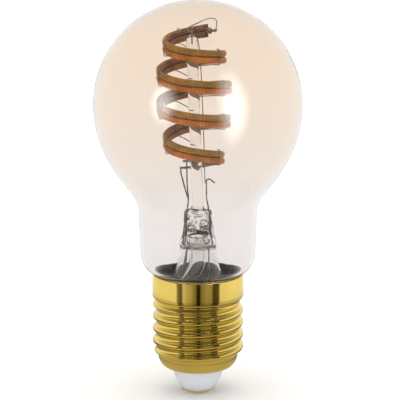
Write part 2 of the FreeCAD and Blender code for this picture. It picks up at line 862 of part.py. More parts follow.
def along_coil(section, first, last):
    """A solid with the same section all along the coil. The section is a list of
    (outward, up) corners; a ruled face runs the whole coil between each two of them."""
    stations = coil_stations(first, last)
    runs = []
    for outward, up in section:
        points = []
        for turns in stations:
            middle, away, _ = coil_frame(turns)
            points.append(middle + away * outward + Vector(0, 0, up))
        curve = Part.BSplineCurve()
        curve.interpolate(Points=points, Parameters=stations)
        runs.append((curve, points[0], points[-1]))
    pairs = list(zip(runs, runs[1:] + runs[:1]))
    faces = [ruled_face(one[0], other[0]) for one, other in pairs]
    for end in (1, 2):
        rim = [Part.LineSegment(one[end], other[end]).toShape() for one, other in pairs]
        faces.append(Part.Face(Part.Wire(rim)))
    return closed_solid(faces)


def ruled_face(one, other):
    """The straight-ruled face between two curves that share their knots."""
    surface = Part.BSplineSurface()
    surface.buildFromPolesMultsKnots(
        [one.getPoles(), other.getPoles()], (2, 2), one.getMultiplicities(),
        (0.0, 1.0), one.getKnots(), False, False, 1, one.Degree)
    return surface.toShape()


def bead_section(side, thickness, middle, channel):
    """Bulging silicone bead on one face of the strip, over one string."""
    face = S.strip_thickness.value / 2
    half = (S.strip_height.value - S.bead_seam.value) / 4
    corners = []
    for step in range(BEAD_FACETS + 1):
        slope = math.pi * (step / BEAD_FACETS - 0.5)
        swell = max(math.cos(slope), 0.0) ** 0.6
        corners.append((side * (face + thickness * swell), middle + half * math.sin(slope)))
    if channel:
        room = S.chip_width.value / 2 + 0.1
        depth = face + S.chip_thickness.value + 0.08
        corners += [(face, middle + room), (depth, middle + room),
                    (depth, middle - room), (face, middle - room)]
    return corners


def string_height(string):
    """Middle of the cool string above, or of the warm string below, the strip's own."""
    lift = (S.strip_height.value + S.bead_seam.value) / 4
    return lift if string == "cool" else -lift


def make_filament():
    """Strip, four beads and two rows of chips."""
    last = S.filament_turns.value
    bare = S.bead_setback.value / (2 * math.pi * S.coil_end_radius.value)
    half = S.strip_height.value / 2
    face = S.strip_thickness.value / 2
    strip = [(-face, -half), (face, -half), (face, half), (-face, half)]
    keep(lean(solid_feature("filament_substrate", along_coil(strip, 0.0, last))),
         "filament_substrate")
    for string in ("cool", "warm"):
        middle = string_height(string)
        for place_name, side, thickness in (("outer", 1, S.bead_outer.value),
                                            ("inner", -1, S.bead_inner.value)):
            section = bead_section(side, thickness, middle, side > 0)
            name = f"phosphor_{string}_{place_name}"
            bead = along_coil(section, bare, last - bare)
            keep(lean(solid_feature(name, bead)), name)
        name = f"led_chips_{string}"
        keep(lean(solid_feature(name, chip_row(middle, bare, last - bare))), name)


def chip_row(middle, first, last):
    """LED chips side by side along one string, a set way apart."""
    length = S.chip_length.value
    width = S.chip_width.value
    thickness = S.chip_thickness.value
    chips = []
    travelled = S.chip_spacing.value / 2
    before = coil_frame(first)[0]
    for turns in coil_stations(first, last)[1:]:
        here, outward, onward = coil_frame(turns)
        travelled += (here - before).Length
        before = here
        if travelled >= S.chip_spacing.value and turns < last - 0.02:
            travelled -= S.chip_spacing.value
            chip = Part.makeBox(length, thickness, width)
            chip.Placement = Placement(
                here + outward * (S.strip_thickness.value / 2 + 0.03) - onward * (length / 2)
                + Vector(0, 0, middle - width / 2),
                Rotation(onward, outward, Vector(0, 0, -1), "ZXY"))
            chips.append(chip)
    return Part.makeCompound(chips)


def tangent_block(name, turns, onward_sign, low, size):
    """A box at an end of the coil; x runs away from the strip, y outward, z up."""
    middle, outward, onward = coil_frame(turns)
    away = onward * onward_sign
    item = doc.addObject("Part::Box", name)
    bind(item, Length=size[0], Width=size[1], Height=size[2])
    turn = Rotation(away, Vector(0, 0, 1).cross(away), Vector(0, 0, 1), "ZXY")
    corner = middle + turn.multVec(Vector(*low))
    upright = Placement(corner, turn)
    item.Placement = Placement(
        Vector(), Rotation(Vector(0, 1, 0), -S.mount_lean.value),
        Vector(0, 0, S.pinch_top_z.value)) * upright
    return item


TAB_REACH = (("cool", 3.0), ("warm", 4.0))
WELD_INSET = {"cool": 1.1, "warm": 0.3}


def make_terminals():
    """Metal clips on the strip's ends; returns where each one's wire is welded."""
    strip = nodes_named("filament_substrate")
    grip = S.bead_setback.value - 0.15
    clip = tangent_block("common_clip", 0.0, -1, (-grip, -0.35, -1.3), (grip + 1.9, 0.7, 2.6))
    tab = tangent_block("common_tab", 0.0, -1, (1.7, -0.2, -0.5), (1.9, 0.4, 0.9))
    keep(cut("terminal_common", fuse("common_metal", clip, tab), strip), "terminal_common")
    last = S.filament_turns.value
    for string, reach in TAB_REACH:
        low = string_height(string) - 0.55
        name = f"terminal_{string}"
        blank = tangent_block(name + "_clip", last, 1, (-grip, -0.3, low), (grip + reach, 0.6, 1.1))
        keep(cut(name, blank, strip), name)


def end_spot(turns, onward_sign, along, up, inward=0.0):
    """A point beside an end of the coil, in the leaned mount."""
    middle, outward, onward = coil_frame(turns)
    return leaned(middle + onward * (onward_sign * along) - outward * inward + Vector(0, 0, up))


def nodes_named(name):
    for label, item in nodes:
        if label == name:
            return item
    raise ValueError(name)


def make_supports():
    """Thin wires sunk in the post that pass under the strip and hook round it."""
    wire = S.support_wire.value / 2
    clear = S.hook_gap.value + wire
    outside = S.strip_thickness.value / 2 + S.bead_outer.value + clear
    under = S.strip_height.value / 2 + clear
    made = []
    for whole in range(math.ceil(S.filament_turns.value)):
        for direction in SUPPORT_DIRECTIONS:
            turns = whole + (direction - S.filament_start.value) / 360
            if turns > S.filament_turns.value - 0.1:
                continue
            middle, outward, _ = coil_frame(turns)
            radius = middle.Length if middle.z == 0 else math.hypot(middle.x, middle.y)
            up = Vector(0, 0, 1)
            foot = outward * 0.5 + up * (middle.z - under - 1.1)
            hook = [
                foot,
                outward * (radius - 1.6) + up * (middle.z - under - 0.1),
                outward * (radius + outside) + up * (middle.z - under),
                outward * (radius + outside) + up * (middle.z + under),
                outward * (radius + 0.1) + up * (middle.z + under + 0.1),
            ]
            name = f"support_wire_{len(made) + 1:02d}"
            made.append(keep(lean(bent_wire(name, hook, S.support_wire, 0.5)), name))
    return made


def make_anchor():
    """Short wire that stands in the post's rounded top."""
    top = COIL_TOP_Z.value
    route = [Vector(0, 0, top - 3.0), Vector(0, 0, top + 1.2), Vector(0.55, 0.3, top + 2.1)]
    name = "top_anchor_wire"
    return keep(lean(bent_wire(name, route, S.support_wire, 0.5)), name)


def make_post(wires):
    """Glass rod with a rounded top, holed for the wires that are sunk in it."""
    foot = S.pinch_top_z - S.post_socket
    top = COIL_TOP_Z - 0.3
    blank = lean(turned("post_glass", [
        (0, foot),
        (S.post_radius, foot),
        (S.post_radius, top - S.post_radius, S.post_radius, "left"),
        (0, top),
    ]))
    return keep(cut("centre_post", blank, *wires), "centre_post")


def make_return_wire():
    """Thin wire from the common lead, up beside the post and over to the top clip."""
    top = COIL_TOP_Z.value
    reach = S.lead_reach.value
    lap = S.lead_r.value + S.support_wire.value / 2 + 0.02
    lift = S.pinch_top_z.value
    weld = reach - 0.6 - lap
    tab = end_spot(0.0, -1, 3.1, 0.4 + 0.02)
    up = 3.2
    route = [
        Vector(weld, 0, lift + 6.6), Vector(weld, 0, lift + 8.2),
        leaned(Vector(2.35, -0.3, lift + 13)), leaned(Vector(2.4, 0.0, top - 6)),
        leaned(Vector(2.1, 0.6, top + 0.4)), leaned(Vector(1.5, 0.9, top + 2.6)),
        leaned(Vector(3.9, 1.6, top + 3.7)), tab + Vector(-0.9, 0, up), tab + Vector(0, 0, 1.4), tab,
    ]
    keep(bent_wire("common_return_wire", route, S.support_wire, 2.0), "common_return_wire")


# ---------------------------------------------------------------- driver in the cap

def make_cover_disc():
    """Insulating disc over the driver, with a hole for each lead."""
    disc = rod("disc_blank", (0, 0, S.disc_z), S.thread_root - S.cap_wall - 0.25,
               S.disc_thickness)
    holes = [rod(f"disc_hole_{role}", (*spot, S.disc_z), S.lead_r + 0.1, S.disc_thickness)
             for role, spot in pad_spots().items()]
    keep(cut("cover_disc", disc, *holes), "cover_disc")


def make_sleeve():
    """Insulating sleeve between the driver and the shell."""
    keep(turned("insulating_sleeve", [
        (S.sleeve_inside, S.board_z),
        (S.sleeve_radius, S.board_z),
        (S.sleeve_radius, S.disc_z),
        (S.sleeve_inside, S.disc_z),
    ]), "insulating_sleeve")


def make_board():
    """Upright driver board that stands across the sleeve."""
    half = root(S.sleeve_inside * S.sleeve_inside - S.board_face * S.board_face) - S.board_gap
    corner = 1.5
    body = new_body("driver_board")
    outline = sketch_outline(body, "board_outline", "XZ_Plane", [
        (corner - half, S.board_z),
        (half - corner, S.board_z),
        (half, S.board_z + corner),
        (half, S.board_top_z),
        (-half, S.board_top_z),
        (-half, S.board_z + corner),
    ])
    pad = body.newObject("PartDesign::Pad", "board_pad")
    pad.Profile = outline
    bind(pad, Length=S.board_thickness)
    pad.Midplane = True
    keep(body, "driver_board")
    return half


def front(y):
    """A depth in front of the board's front face."""
    return -S.board_face - y


def make_big_parts():
    """Smoothing capacitor, inductor and film capacitor in front of the board."""
    z = S.board_z
    can = rod("capacitor_can", (-4.1, front(0.1) - S.capacitor_radius, z + 1.2),
              S.capacitor_radius, S.capacitor_length)
    rolled = doc.addObject("Part::Fillet", "bulk_capacitor")
    rolled.Base = can
    rolled.Edges = [(1, 0.6, 0.6), (3, 0.6, 0.6)]
    keep(rolled, "bulk_capacitor")
    at = (4.6, front(0), z + 4.4)
    away = (0, -1, 0)
    flange = 0.9
    drum = [
        rod("inductor_foot", at, S.inductor_radius, flange, away),
        rod("inductor_waist", at, 1.5, S.inductor_length, away),
        rod("inductor_head", (at[0], at[1] - S.inductor_length + flange, at[2]),
            S.inductor_radius, flange, away),
    ]
    keep(fuse("inductor_core", *drum), "inductor_core")
    coil_at = (at[0], at[1] - flange, at[2])
    coil_length = S.inductor_length - 2 * flange
    wound = rod("winding_outside", coil_at, S.inductor_radius - 0.35, coil_length, away)
    hollow = rod("winding_inside", coil_at, 1.5, coil_length, away)
    keep(cut("inductor_winding", wound, hollow), "inductor_winding")
    keep(rounded_block("film_capacitor", (4.0, front(4.2), z + 9.2), (5.0, 4.2, 4.6), 0.5),
         "film_capacitor")


def rounded_block(name, low, size, radius):
    """A moulded block with its upright edges rounded."""
    blank = block(name + "_blank", low, size)
    item = doc.addObject("Part::Fillet", name)
    item.Base = blank
    item.Edges = [(edge, radius, radius) for edge in (1, 3, 5, 7)]
    return item


def make_chips():
    """Flat parts on the back of the board."""
    back = S.board_face
    z = S.board_z
    keep(rounded_block("bridge_rectifier", (4.0, back, z + 1.0), (4.6, 2.4, 3.9), 0.3),
         "bridge_rectifier")
    keep(rounded_block("driver_ic", (-1.4, back, z + 5.6), (4.9, 1.5, 3.9), 0.2), "driver_ic")
    pair = [rounded_block(f"mosfet_{side}", (x, back, z + 8.2), (1.6, 1.1, 2.9), 0.15)
            for side, x in (("cool", -5.8), ("warm", -3.8))]
    keep(solid_group("channel_mosfets", pair), "channel_mosfets")
    rows = [(x, back, z + height) for height in (3.0, 4.5) for x in (-7.6, -5.4, -3.2, -1.0)]
    rows += [(x, back, z + 13.2) for x in (0.4, 2.6, 4.8, 7.0)]
    small = [block(f"chip_{count}", low, (1.6, 0.55, 0.8)) for count, low in enumerate(rows)]
    keep(solid_group("chip_passives", small), "chip_passives")


def solid_group(name, items):
    """Like pieces kept together in one node, each still a solid of its own."""
    group = doc.addObject("Part::Compound", name)
    group.Links = list(items)
    return group


def make_fuse():
    """Axial fusible resistor standing off the back of the board."""
    x = as_size(6.2)
    y = S.board_face + 1.7
    low = S.board_z + 6.2
    length = 5.0
    lead = 0.3
    body = rod("fuse_body", (x, y, low), 1.1, length)
    wires = []
    for end, z, away in (("low", low, -0.6), ("high", low + length, 0.6)):
        route = [Vector(x.value, y.value, z.value), Vector(x.value, y.value, z.value + away),
                 Vector(x.value, S.board_face.value, z.value + away)]
        wires.append(bent_wire(f"fuse_lead_{end}", route, as_size(2 * lead), 0.3))
    keep(fuse("fusible_resistor", body, *wires), "fusible_resistor")


def make_radio():
    """Wireless module on its own little board, behind the driver board."""
    z = S.board_z + 1.4
    gap = S.board_face + 3.2
    wide = 9.0
    tall = 12.0
    low_x = -8.0
    board = 0.8
    pins = [block(f"radio_pin_{count}", (low_x + 0.8 + 1.27 * count, S.board_face, z + 0.4),
                  (0.5, 3.2, 0.5)) for count in range(6)]
    keep(solid_group("radio_pins", pins), "radio_pins")
    keep(block("radio_board", (low_x, gap, z), (wide, board, tall)), "radio_board")
    can_low = (low_x + 1.2, gap + board, z + 2.2)
    can_size = (6.6, 1.3, 6.4)
    skin = 0.15
    can = block("shield_outside", can_low, can_size)
    room = block("shield_inside", (can_low[0] + skin, can_low[1], can_low[2] + skin),
                 (can_size[0] - 2 * skin, can_size[1] - skin, can_size[2] - 2 * skin))
    keep(cut("radio_shield", can, room), "radio_shield")
    keep(block("radio_chip", (can_low[0] + 1.3, gap + board, can_low[2] + 1.2),
               (4.0, 0.85, 4.0)), "radio_chip")


def make_mains_leads():
    """Wires from the rivet and from the shell's inner wall to the board."""
    off = S.board_face.value + S.lead_r.value
    z = S.board_z.value
    rivet = S.rivet_length.value
    live = [Vector(0, 0, rivet), Vector(0, 0, rivet + 2.2), Vector(0.6, -off, z - 1.6),
            Vector(0.6, -off, z + 2.0)]
    keep(bent_wire("live_lead", live, S.lead_wire, 1.5), "live_lead")
    level = z - 1.5
    lip = S.lip_z.value
    tall = S.cap_floor_height.value - S.cap_wall.value
    wide = S.cap_floor_radius.value - S.cap_lip_radius.value - S.cap_wall.value
    rise = (lip + S.cap_floor_height.value - level + S.lead_r.value) / tall
    wall = S.cap_lip_radius.value + wide * math.sqrt(1 - rise * rise) - 0.03
    reach = math.sqrt(wall * wall - (off + S.lead_r.value) ** 2)
    neutral = [Vector(7.6, -off, z + 3.0), Vector(7.6, -off, level), Vector(reach, -off, level)]
    keep(bent_wire("neutral_lead", neutral, S.lead_wire, 0.7), "neutral_lead")


# ---------------------------------------------------------------- model

def build():
    """Makes every sub-part, each in the order that its neighbours need."""
    make_envelope()
    make_cement()
    make_cap_shell()
    make_insulator()
    make_end_contact()
    make_filament()
    make_terminals()
    supports = make_supports()
    anchor = make_anchor()
    post = make_post(supports + [anchor])
    make_return_wire()
    last = S.filament_turns.value
    beside = 0.3 + S.lead_r.value + 0.02
    tabs = [end_spot(last, 1, reach - WELD_INSET[string], string_height(string) + 0.4, beside)
            for string, reach in TAB_REACH]
    inner_leads = make_inner_leads(tabs)
    seals = [make_seal(f"seal_{role}", spot)
             for role, spot in (("common", COMMON_AT), ("cool", COOL_AT), ("warm", WARM_AT))]
    outer_leads = make_board_leads()
    make_exhaust_tube()
    make_stem(post, doc.getObject("exhaust_outside"), inner_leads + seals + outer_leads)
    make_cover_disc()
    make_sleeve()
    make_board()
    make_big_parts()
    make_chips()
    make_fuse()
    make_radio()
    make_mains_leads()


def check():
    """Stops if any object failed or any sub-part is not a sound solid."""
    for item in doc.Objects:
        if {"Invalid", "Error"} & set(item.State):
            raise RuntimeError(f"{item.Name} failed: {item.State}")
    for name, item in nodes:
        shape = item.Shape
        if shape.isNull() or not shape.isValid() or not shape.Solids or shape.Volume <= 0:
            raise RuntimeError(f"{name} is not a sound solid")


def export():
    os.makedirs(OUT_DIR, exist_ok=True)
    for name, item in nodes:
        item.Shape.exportStep(os.path.join(OUT_DIR, name + ".step"))


build()
doc.recompute()
check()
export()
print(f"{len(nodes)} sub-parts written to {OUT_DIR}")
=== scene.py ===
"""Spiral-filament smart bulb: its glass, strings, wires, cap and a small studio.

Each operator makes one piece, or gives a group of parts its finish. Run as a script, the
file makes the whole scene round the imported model. Lengths are in metres, and +Z runs up
the bulb from its end contact.
"""

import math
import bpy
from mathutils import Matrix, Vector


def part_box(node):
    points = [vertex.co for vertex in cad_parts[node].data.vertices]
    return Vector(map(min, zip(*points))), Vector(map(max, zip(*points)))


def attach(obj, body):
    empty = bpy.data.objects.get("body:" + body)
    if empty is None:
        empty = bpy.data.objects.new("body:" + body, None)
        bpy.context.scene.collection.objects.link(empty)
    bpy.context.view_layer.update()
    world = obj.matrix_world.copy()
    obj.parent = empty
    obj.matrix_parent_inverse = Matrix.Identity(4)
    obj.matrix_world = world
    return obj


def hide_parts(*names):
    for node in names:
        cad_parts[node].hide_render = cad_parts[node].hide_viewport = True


bl_info = {
    "name": "Spiral Filament Bulb",
    "version": (1, 0, 0),
    "blender": (4, 5, 0),
    "location": "View3D > Sidebar > Bulb",
    "description": "Makes a spiral-filament smart bulb and its studio",
    "category": "Object",
}

import bmesh
import bpy
from bpy.props import FloatProperty, FloatVectorProperty, PointerProperty
from mathutils import Euler, Matrix, Vector, noise

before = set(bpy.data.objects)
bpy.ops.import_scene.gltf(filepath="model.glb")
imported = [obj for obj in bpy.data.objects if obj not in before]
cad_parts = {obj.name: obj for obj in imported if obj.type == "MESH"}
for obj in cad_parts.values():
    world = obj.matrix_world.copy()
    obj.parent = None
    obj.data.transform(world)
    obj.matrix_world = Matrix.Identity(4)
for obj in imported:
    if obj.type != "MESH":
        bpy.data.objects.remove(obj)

AXIS = Vector((0, 0, 1))
ENVELOPE_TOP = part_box("glass_envelope")[1]
CAP_LOW, CAP_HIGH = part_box("cap_shell")
CROWN_Z = ENVELOPE_TOP.z
GLOBE_RADIUS = ENVELOPE_TOP.x
RIM_Z = CAP_HIGH.z
LIP_Z = CAP_LOW.z
PINCH_TOP_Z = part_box("stem_flare")[1].z
THIN_GLASS_IOR = 1.3


# ---------------------------------------------------------------- sizes and colours

def length(name, default, description):
    return FloatProperty(
        name=name, description=description, default=default, min=0.0, unit="LENGTH",
        precision=5)


def slant(name, degrees, description):
    return FloatProperty(
        name=name, description=description, default=math.radians(degrees), unit="ROTATION")


def share(name, default, description, top=1.0):
    return FloatProperty(
        name=name, description=description, default=default, min=0.0, max=top,
        subtype="FACTOR")


def colour(name, default, description):
    return FloatVectorProperty(
        name=name, description=description, default=default, size=3, min=0.0, max=1.0,
        subtype="COLOR")


class EnvelopeSizes(bpy.types.PropertyGroup):
    """Shape of the blown glass."""

    shoulder_growth: length("Shoulder growth", 0.004, "Extra radius of the arc under the globe")
    cone_slope: slant("Cone slope", 36, "Slope of the cone from the axis")
    neck_height: length("Neck height", 0.021, "Cap rim to where cone and neck would meet")
    neck_radius: length("Neck radius", 0.01665, "Outside of the neck at its foot")
    neck_draft: slant("Neck draft", 2, "Slope of the neck from the axis")
    neck_fillet: length("Neck fillet", 0.011, "Hollow curve between cone and neck")
    foot_curve: length("Foot curve", 0.0066, "Round foot of the neck above the cap")
    skirt_radius: length("Skirt radius", 0.0123, "Glass inside the cap")
    skirt_length: length("Skirt length", 0.0052, "Glass below the cap's rim")
    wall: length("Wall", 0.0009, "Thickness of the glass")


class CapSizes(bpy.types.PropertyGroup):
    """Shape of the rolled screw cap and its insulator."""

    crest_radius: length("Crest radius", 0.0132, "Outside of the thread")
    thread_depth: length("Thread depth", 0.00115, "Crest to root")
    pitch: length("Pitch", 0.003629, "One turn of the thread")
    crest_height: length("Crest height", 0.00645, "Lowest crest above the lip")
    collar_radius: length("Collar radius", 0.01325, "Plain collar above the thread")
    collar_height: length("Collar height", 0.0066, "Plain collar above the thread")
    floor_radius: length("Floor radius", 0.0114, "Where the bottom starts to round")
    floor_height: length("Floor height", 0.004, "Rounded bottom of the shell")
    lip_radius: length("Lip radius", 0.0078, "Lowest ring of the shell")
    sheet: length("Sheet", 0.0003, "Thickness of the brass")
    rim_curl: length("Rim curl", 0.00022, "Rounding of the collar's upper edge")
    cone_foot: length("Cone foot", 0.0047, "Insulator at the end contact")
    cone_top: length("Cone top", 0.00745, "Insulator in the shell's hole")
    cone_bulge: length("Cone bulge", 0.0005, "How far the cone swells out of straight")
    cone_bore: length("Cone bore", 0.0060, "Hollow inside of the insulator")
    cone_floor: length("Cone floor", 0.0016, "Thickness over the end contact")
    pin_hole: length("Pin hole", 0.0010, "Hole for the contact's pin")


class CoilSizes(bpy.types.PropertyGroup):
    """Route of the strip round the post, and the beads on it."""

    rise: length("Rise", 0.0205, "Upper end above the globe's centre")
    drop: length("Drop", 0.0394, "Height from the upper to the lower end")
    turns: FloatProperty(name="Turns", description="Turns of the coil", default=4.15, min=1.0)
    start: slant("Start", 45, "Direction of the upper end from +X")
    end_radius: length("End radius", 0.0066, "Coil at both ends")
    belly: length("Belly", 0.0036, "Extra radius half way down")
    spread: share("Spread", 0.2, "How much wider the lower turns are spaced")
    lean: slant("Lean", 2, "Lean of the mount towards -X")
    strip_height: length("Strip height", 0.0038, "Flexible strip under the beads")
    strip_thickness: length("Strip thickness", 0.00015, "Flexible strip under the beads")
    seam: length("Seam", 0.0001, "Gap between the two strings")
    outer_bead: length("Outer bead", 0.00075, "Bead on the outside face")
    inner_bead: length("Inner bead", 0.00065, "Bead on the inside face")
    bare_end: length("Bare end", 0.0011, "Strip without beads at each end")


class StemSizes(bpy.types.PropertyGroup):
    """Shape of the stem glass and the post."""

    tube_radius: length("Tube radius", 0.0053, "Outside of the stem tube")
    tube_wall: length("Tube wall", 0.00045, "Stem tube")
    lip: length("Lip", 0.0009, "Flat lip that the skirt is sealed to")
    pinch_height: length("Pinch height", 0.0109, "Pressed glass of the stem")
    pinch_width: length("Pinch width", 0.0086, "Pressed glass, wide way")
    pinch_thickness: length("Pinch thickness", 0.0048, "Pressed glass, thin way")
    post_radius: length("Post radius", 0.00165, "Glass rod")
    unevenness: length("Unevenness", 0.00048, "How far the pressed glass wanders")


class Finishes(bpy.types.PropertyGroup):
    """Colours that a user may change."""

    amber: colour("Amber", (0.972, 0.880, 0.785), "Tint of the globe's glass")
    clear: colour("Clear", (0.930, 0.905, 0.900), "Glass at the neck")
    stem_glass: colour("Stem glass", (0.965, 0.955, 0.945), "Glass of the stem and post")
    # Painted shade: the dark colour of the pinch's swirls, for the dark things seen through the
    # glass.
    painted_swirl_shade: colour("Swirl shade", (0.34, 0.29, 0.27), "Swirls in the pressed glass")
    brass: colour("Brass", (0.86, 0.635, 0.15), "Rolled shell of the cap")
    cool_bead: colour("Cool bead", (0.330, 0.175, 0.026), "Silicone over the cool string")
    warm_bead: colour("Warm bead", (0.480, 0.162, 0.016), "Silicone over the warm string")
    inner_bead: colour("Inner bead", (0.250, 0.122, 0.070), "Silicone on the inner face")
    nickel: colour("Nickel", (0.30, 0.28, 0.27), "Wires and clips")
    insulator: colour("Insulator", (0.80, 0.83, 0.89), "White cone of the cap")
    cement: colour("Cement", (0.020, 0.014, 0.011), "Base cement inside the cap")


class Studio(bpy.types.PropertyGroup):
    """Camera, floor and light."""

    distance: length("Distance", 0.739, "Camera to the middle of the bulb")
    elevation: slant("Elevation", 13, "Camera above the horizon")
    aim_height: length("Aim height", 0.05693, "Height that the camera looks at")
    lens: FloatProperty(
        name="Lens", description="Focal length", default=230.6, min=1.0, unit="CAMERA")
    floor: colour("Floor", (0.90, 0.90, 0.90), "Pale floor")
    horizon: FloatProperty(
        name="Horizon", description="Brightness of the room at eye level", default=0.97, min=0.0)
    zenith: FloatProperty(
        name="Zenith", description="Brightness of the room overhead", default=0.46, min=0.0)
    behind_camera: FloatProperty(
        name="Behind camera", description="Brightness that mirrors see behind the camera",
        default=0.16, min=0.0)
    softbox: FloatProperty(
        name="Softbox", description="Brightness of the two softboxes", default=38.0, min=0.0)
    overhead: FloatProperty(
        name="Overhead", description="Strength of the soft lamp overhead", default=2.25, min=0.0)


# ---------------------------------------------------------------- making meshes

def line_to(bm, end, place):
    """Carries a profile on in a straight line, and hands back its new end."""
    tip = bmesh.ops.extrude_vert_indiv(bm, verts=[end])["verts"][0]
    tip.co = Vector(place)
    return tip


def arc_round(bm, end, centre, angle, steps):
    """Carries a profile in the XZ plane on along an arc. Positive turns from +X to +Z."""
    made = bmesh.ops.spin(
        bm, geom=[end], cent=centre, axis=(0, -1, 0), angle=angle, steps=steps)
    return next(item for item in made["geom_last"] if isinstance(item, bmesh.types.BMVert))


def turn_profile(bm, steps):
    """Turns everything in bm once round the bulb's axis and closes its poles."""
    bmesh.ops.spin(
        bm, geom=bm.verts[:] + bm.edges[:], cent=(0, 0, 0), axis=AXIS, angle=2 * math.pi,
        steps=steps, use_merge=True)
    bmesh.ops.remove_doubles(bm, verts=bm.verts[:], dist=1e-6)
    bmesh.ops.dissolve_degenerate(bm, edges=bm.edges[:], dist=1e-7)
    bmesh.ops.recalc_face_normals(bm, faces=bm.faces[:])


def add_piece(name, bm, finish, stands_for=(), smooth=True):
    """Makes bm a piece of the bulb, in the place of the CAD nodes that it stands for."""
    mesh = bpy.data.meshes.new(name)
    bm.to_mesh(mesh)
    bm.free()
    for face in mesh.polygons:
        face.use_smooth = smooth
    piece = bpy.data.objects.new(name, mesh)
    bpy.context.scene.collection.objects.link(piece)
    mesh.materials.append(finish)
    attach(piece, "root")
    if stands_for:
        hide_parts(*stands_for)
    return piece


def thicken(piece, wall):
    """Gives an open skin its wall, on the inside."""
    shell = piece.modifiers.new("Wall", "SOLIDIFY")
    shell.thickness = wall
    shell.offset = -1.0
    shell.use_even_offset = True


def refinish(finish, *names):
    """Gives CAD nodes, named whole or by their first letters, a finish."""
    for node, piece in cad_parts.items():
        if node.startswith(names):
            piece.data.materials.clear()
            piece.data.materials.append(finish)


# ---------------------------------------------------------------- making finishes

class Finish:
    """A material, and short ways to add nodes to it."""

    def __init__(self, name):
        self.material = bpy.data.materials.new(name)
        self.material.use_nodes = True
        self.tree = self.material.node_tree
        self.tree.nodes.clear()

    def add(self, kind, inputs=None, **settings):
        """A node with its settings; an input is a constant or another node's output."""
        node = self.tree.nodes.new("ShaderNode" + kind)
        for key, value in settings.items():
            setattr(node, key, value)
        for key, value in (inputs or {}).items():
            if isinstance(value, bpy.types.NodeSocket):
                self.tree.links.new(value, node.inputs[key])
            else:
                node.inputs[key].default_value = value
        return node

    def place(self, stretch=(1, 1, 1)):
        """Object coordinates, stretched along each axis."""
        spot = self.add("TexCoord").outputs["Object"]
        return self.add("Mapping", {"Vector": spot, "Scale": stretch}).outputs["Vector"]

    def height(self):
        """Height up the bulb."""
        spot = self.add("TexCoord").outputs["Object"]
        return self.add("SeparateXYZ", {"Vector": spot}).outputs["Z"]

    def attribute(self, name):
        return self.add("Attribute", attribute_name=name).outputs["Fac"]

    def grain(self, scale, detail=3.0, stretch=(1, 1, 1), rough=0.5):
        """Soft noise over the piece, from 0 to 1."""
        return self.add("TexNoise", {
            "Vector": self.place(stretch), "Scale": scale, "Detail": detail,
            "Roughness": rough}).outputs["Fac"]

    def between(self, value, low, high, start=0.0, end=1.0):
        """Maps value from low..high to start..end, smoothly."""
        return self.add("MapRange", {
            "Value": value, "From Min": low, "From Max": high, "To Min": start,
            "To Max": end}, interpolation_type="SMOOTHSTEP").outputs["Result"]

    def math(self, operation, one, other=0.0):
        node = self.add("Math", operation=operation)
        for index, value in enumerate((one, other)):
            if isinstance(value, bpy.types.NodeSocket):
                self.tree.links.new(value, node.inputs[index])
            else:
                node.inputs[index].default_value = value
        return node.outputs["Value"]

    def blend(self, factor, one, other):
        """One colour at factor 0 and the other at 1."""
        node = self.add("Mix", data_type="RGBA")
        for index, value in ((0, factor), (6, one), (7, other)):
            if isinstance(value, bpy.types.NodeSocket):
                self.tree.links.new(value, node.inputs[index])
            elif index == 0:
                node.inputs[index].default_value = value
            else:
                node.inputs[index].default_value = (*value, 1.0)
        return node.outputs[2]

    def bump(self, height, distance, strength=1.0):
        return self.add("Bump", {
            "Height": height, "Distance": distance, "Strength": strength}).outputs["Normal"]

    def principled(self, inputs):
        node = self.add("BsdfPrincipled")
        for key, value in inputs.items():
            if isinstance(value, bpy.types.NodeSocket):
                self.tree.links.new(value, node.inputs[key])
            elif isinstance(value, (tuple, list)) and len(value) == 3 and key != "Subsurface Radius":
                node.inputs[key].default_value = (*value, 1.0)
            else:
                node.inputs[key].default_value = value
        return node.outputs["BSDF"]

    def done(self, shader):
        self.add("OutputMaterial", {"Surface": shader})
        return self.material


def scaled(tone, factor):
    return tuple(min(part * factor, 1.0) for part in tone)


def glass(name, tone, passes, ripple, ior=1.5):
    """Clear glass that lets lamps through to what is inside it. tone is its colour, or a
    maker of the colour; passes is what a lamp's light keeps; ripple is its unevenness."""
    made = Finish(name)
    colour_in = tone(made) if callable(tone) else tuple(tone)
    waves = made.bump(made.grain(160.0, 2.0), ripple)
    solid = made.principled({
        "Base Color": colour_in, "Roughness": 0.0, "IOR": ior, "Transmission Weight": 1.0,
        "Normal": waves})
    open_way = made.add("BsdfTransparent", {"Color": (*passes, 1.0)}).outputs["BSDF"]
    path = made.add("LightPath")
    lamp = made.math("MAXIMUM", path.outputs["Is Shadow Ray"], path.outputs["Is Diffuse Ray"])
    mixed = made.add("MixShader", {0: lamp, 1: solid, 2: open_way}).outputs["Shader"]
    return made.done(mixed)


def amber_glass(tones):
    """Globe glass, amber at the crown and nearly clear at the neck."""
    def fade(made):
        rise = made.between(made.height(), 0.034, 0.104)
        uneven = made.between(made.grain(28.0, 1.0), 0.25, 0.75, -0.06, 0.06)
        return made.blend(made.math("ADD", rise, uneven), tuple(tones.clear), tuple(tones.amber))
    return glass("amber_glass", fade, (0.95, 0.91, 0.86), 0.00003, THIN_GLASS_IOR)


def pressed_glass(sizes, tones):
    """Stem glass with swirls where it was pressed, in a dark colour that is painted shade for the
    dark cement and surroundings seen through the pinch.
    """
    def swirls(made):
        warp = made.add("TexNoise", {
            "Vector": made.place((1, 1, 0.7)), "Scale": 260.0, "Detail": 2.0,
            "Distortion": 2.6}).outputs["Fac"]
        pressed = made.between(
            made.height(), PINCH_TOP_Z - sizes.pinch_height - 0.001,
            PINCH_TOP_Z - sizes.pinch_height + 0.002)
        # Painted shade: dark swirls stand in for the dark things seen through the pressed glass.
        painted_swirl_shade = made.math("MULTIPLY", made.between(warp, 0.52, 0.60), pressed)
        return made.blend(painted_swirl_shade, tuple(tones.stem_glass), tuple(tones.painted_swirl_shade))
    return glass("pressed_glass", swirls, (0.97, 0.96, 0.95), 0.0002)


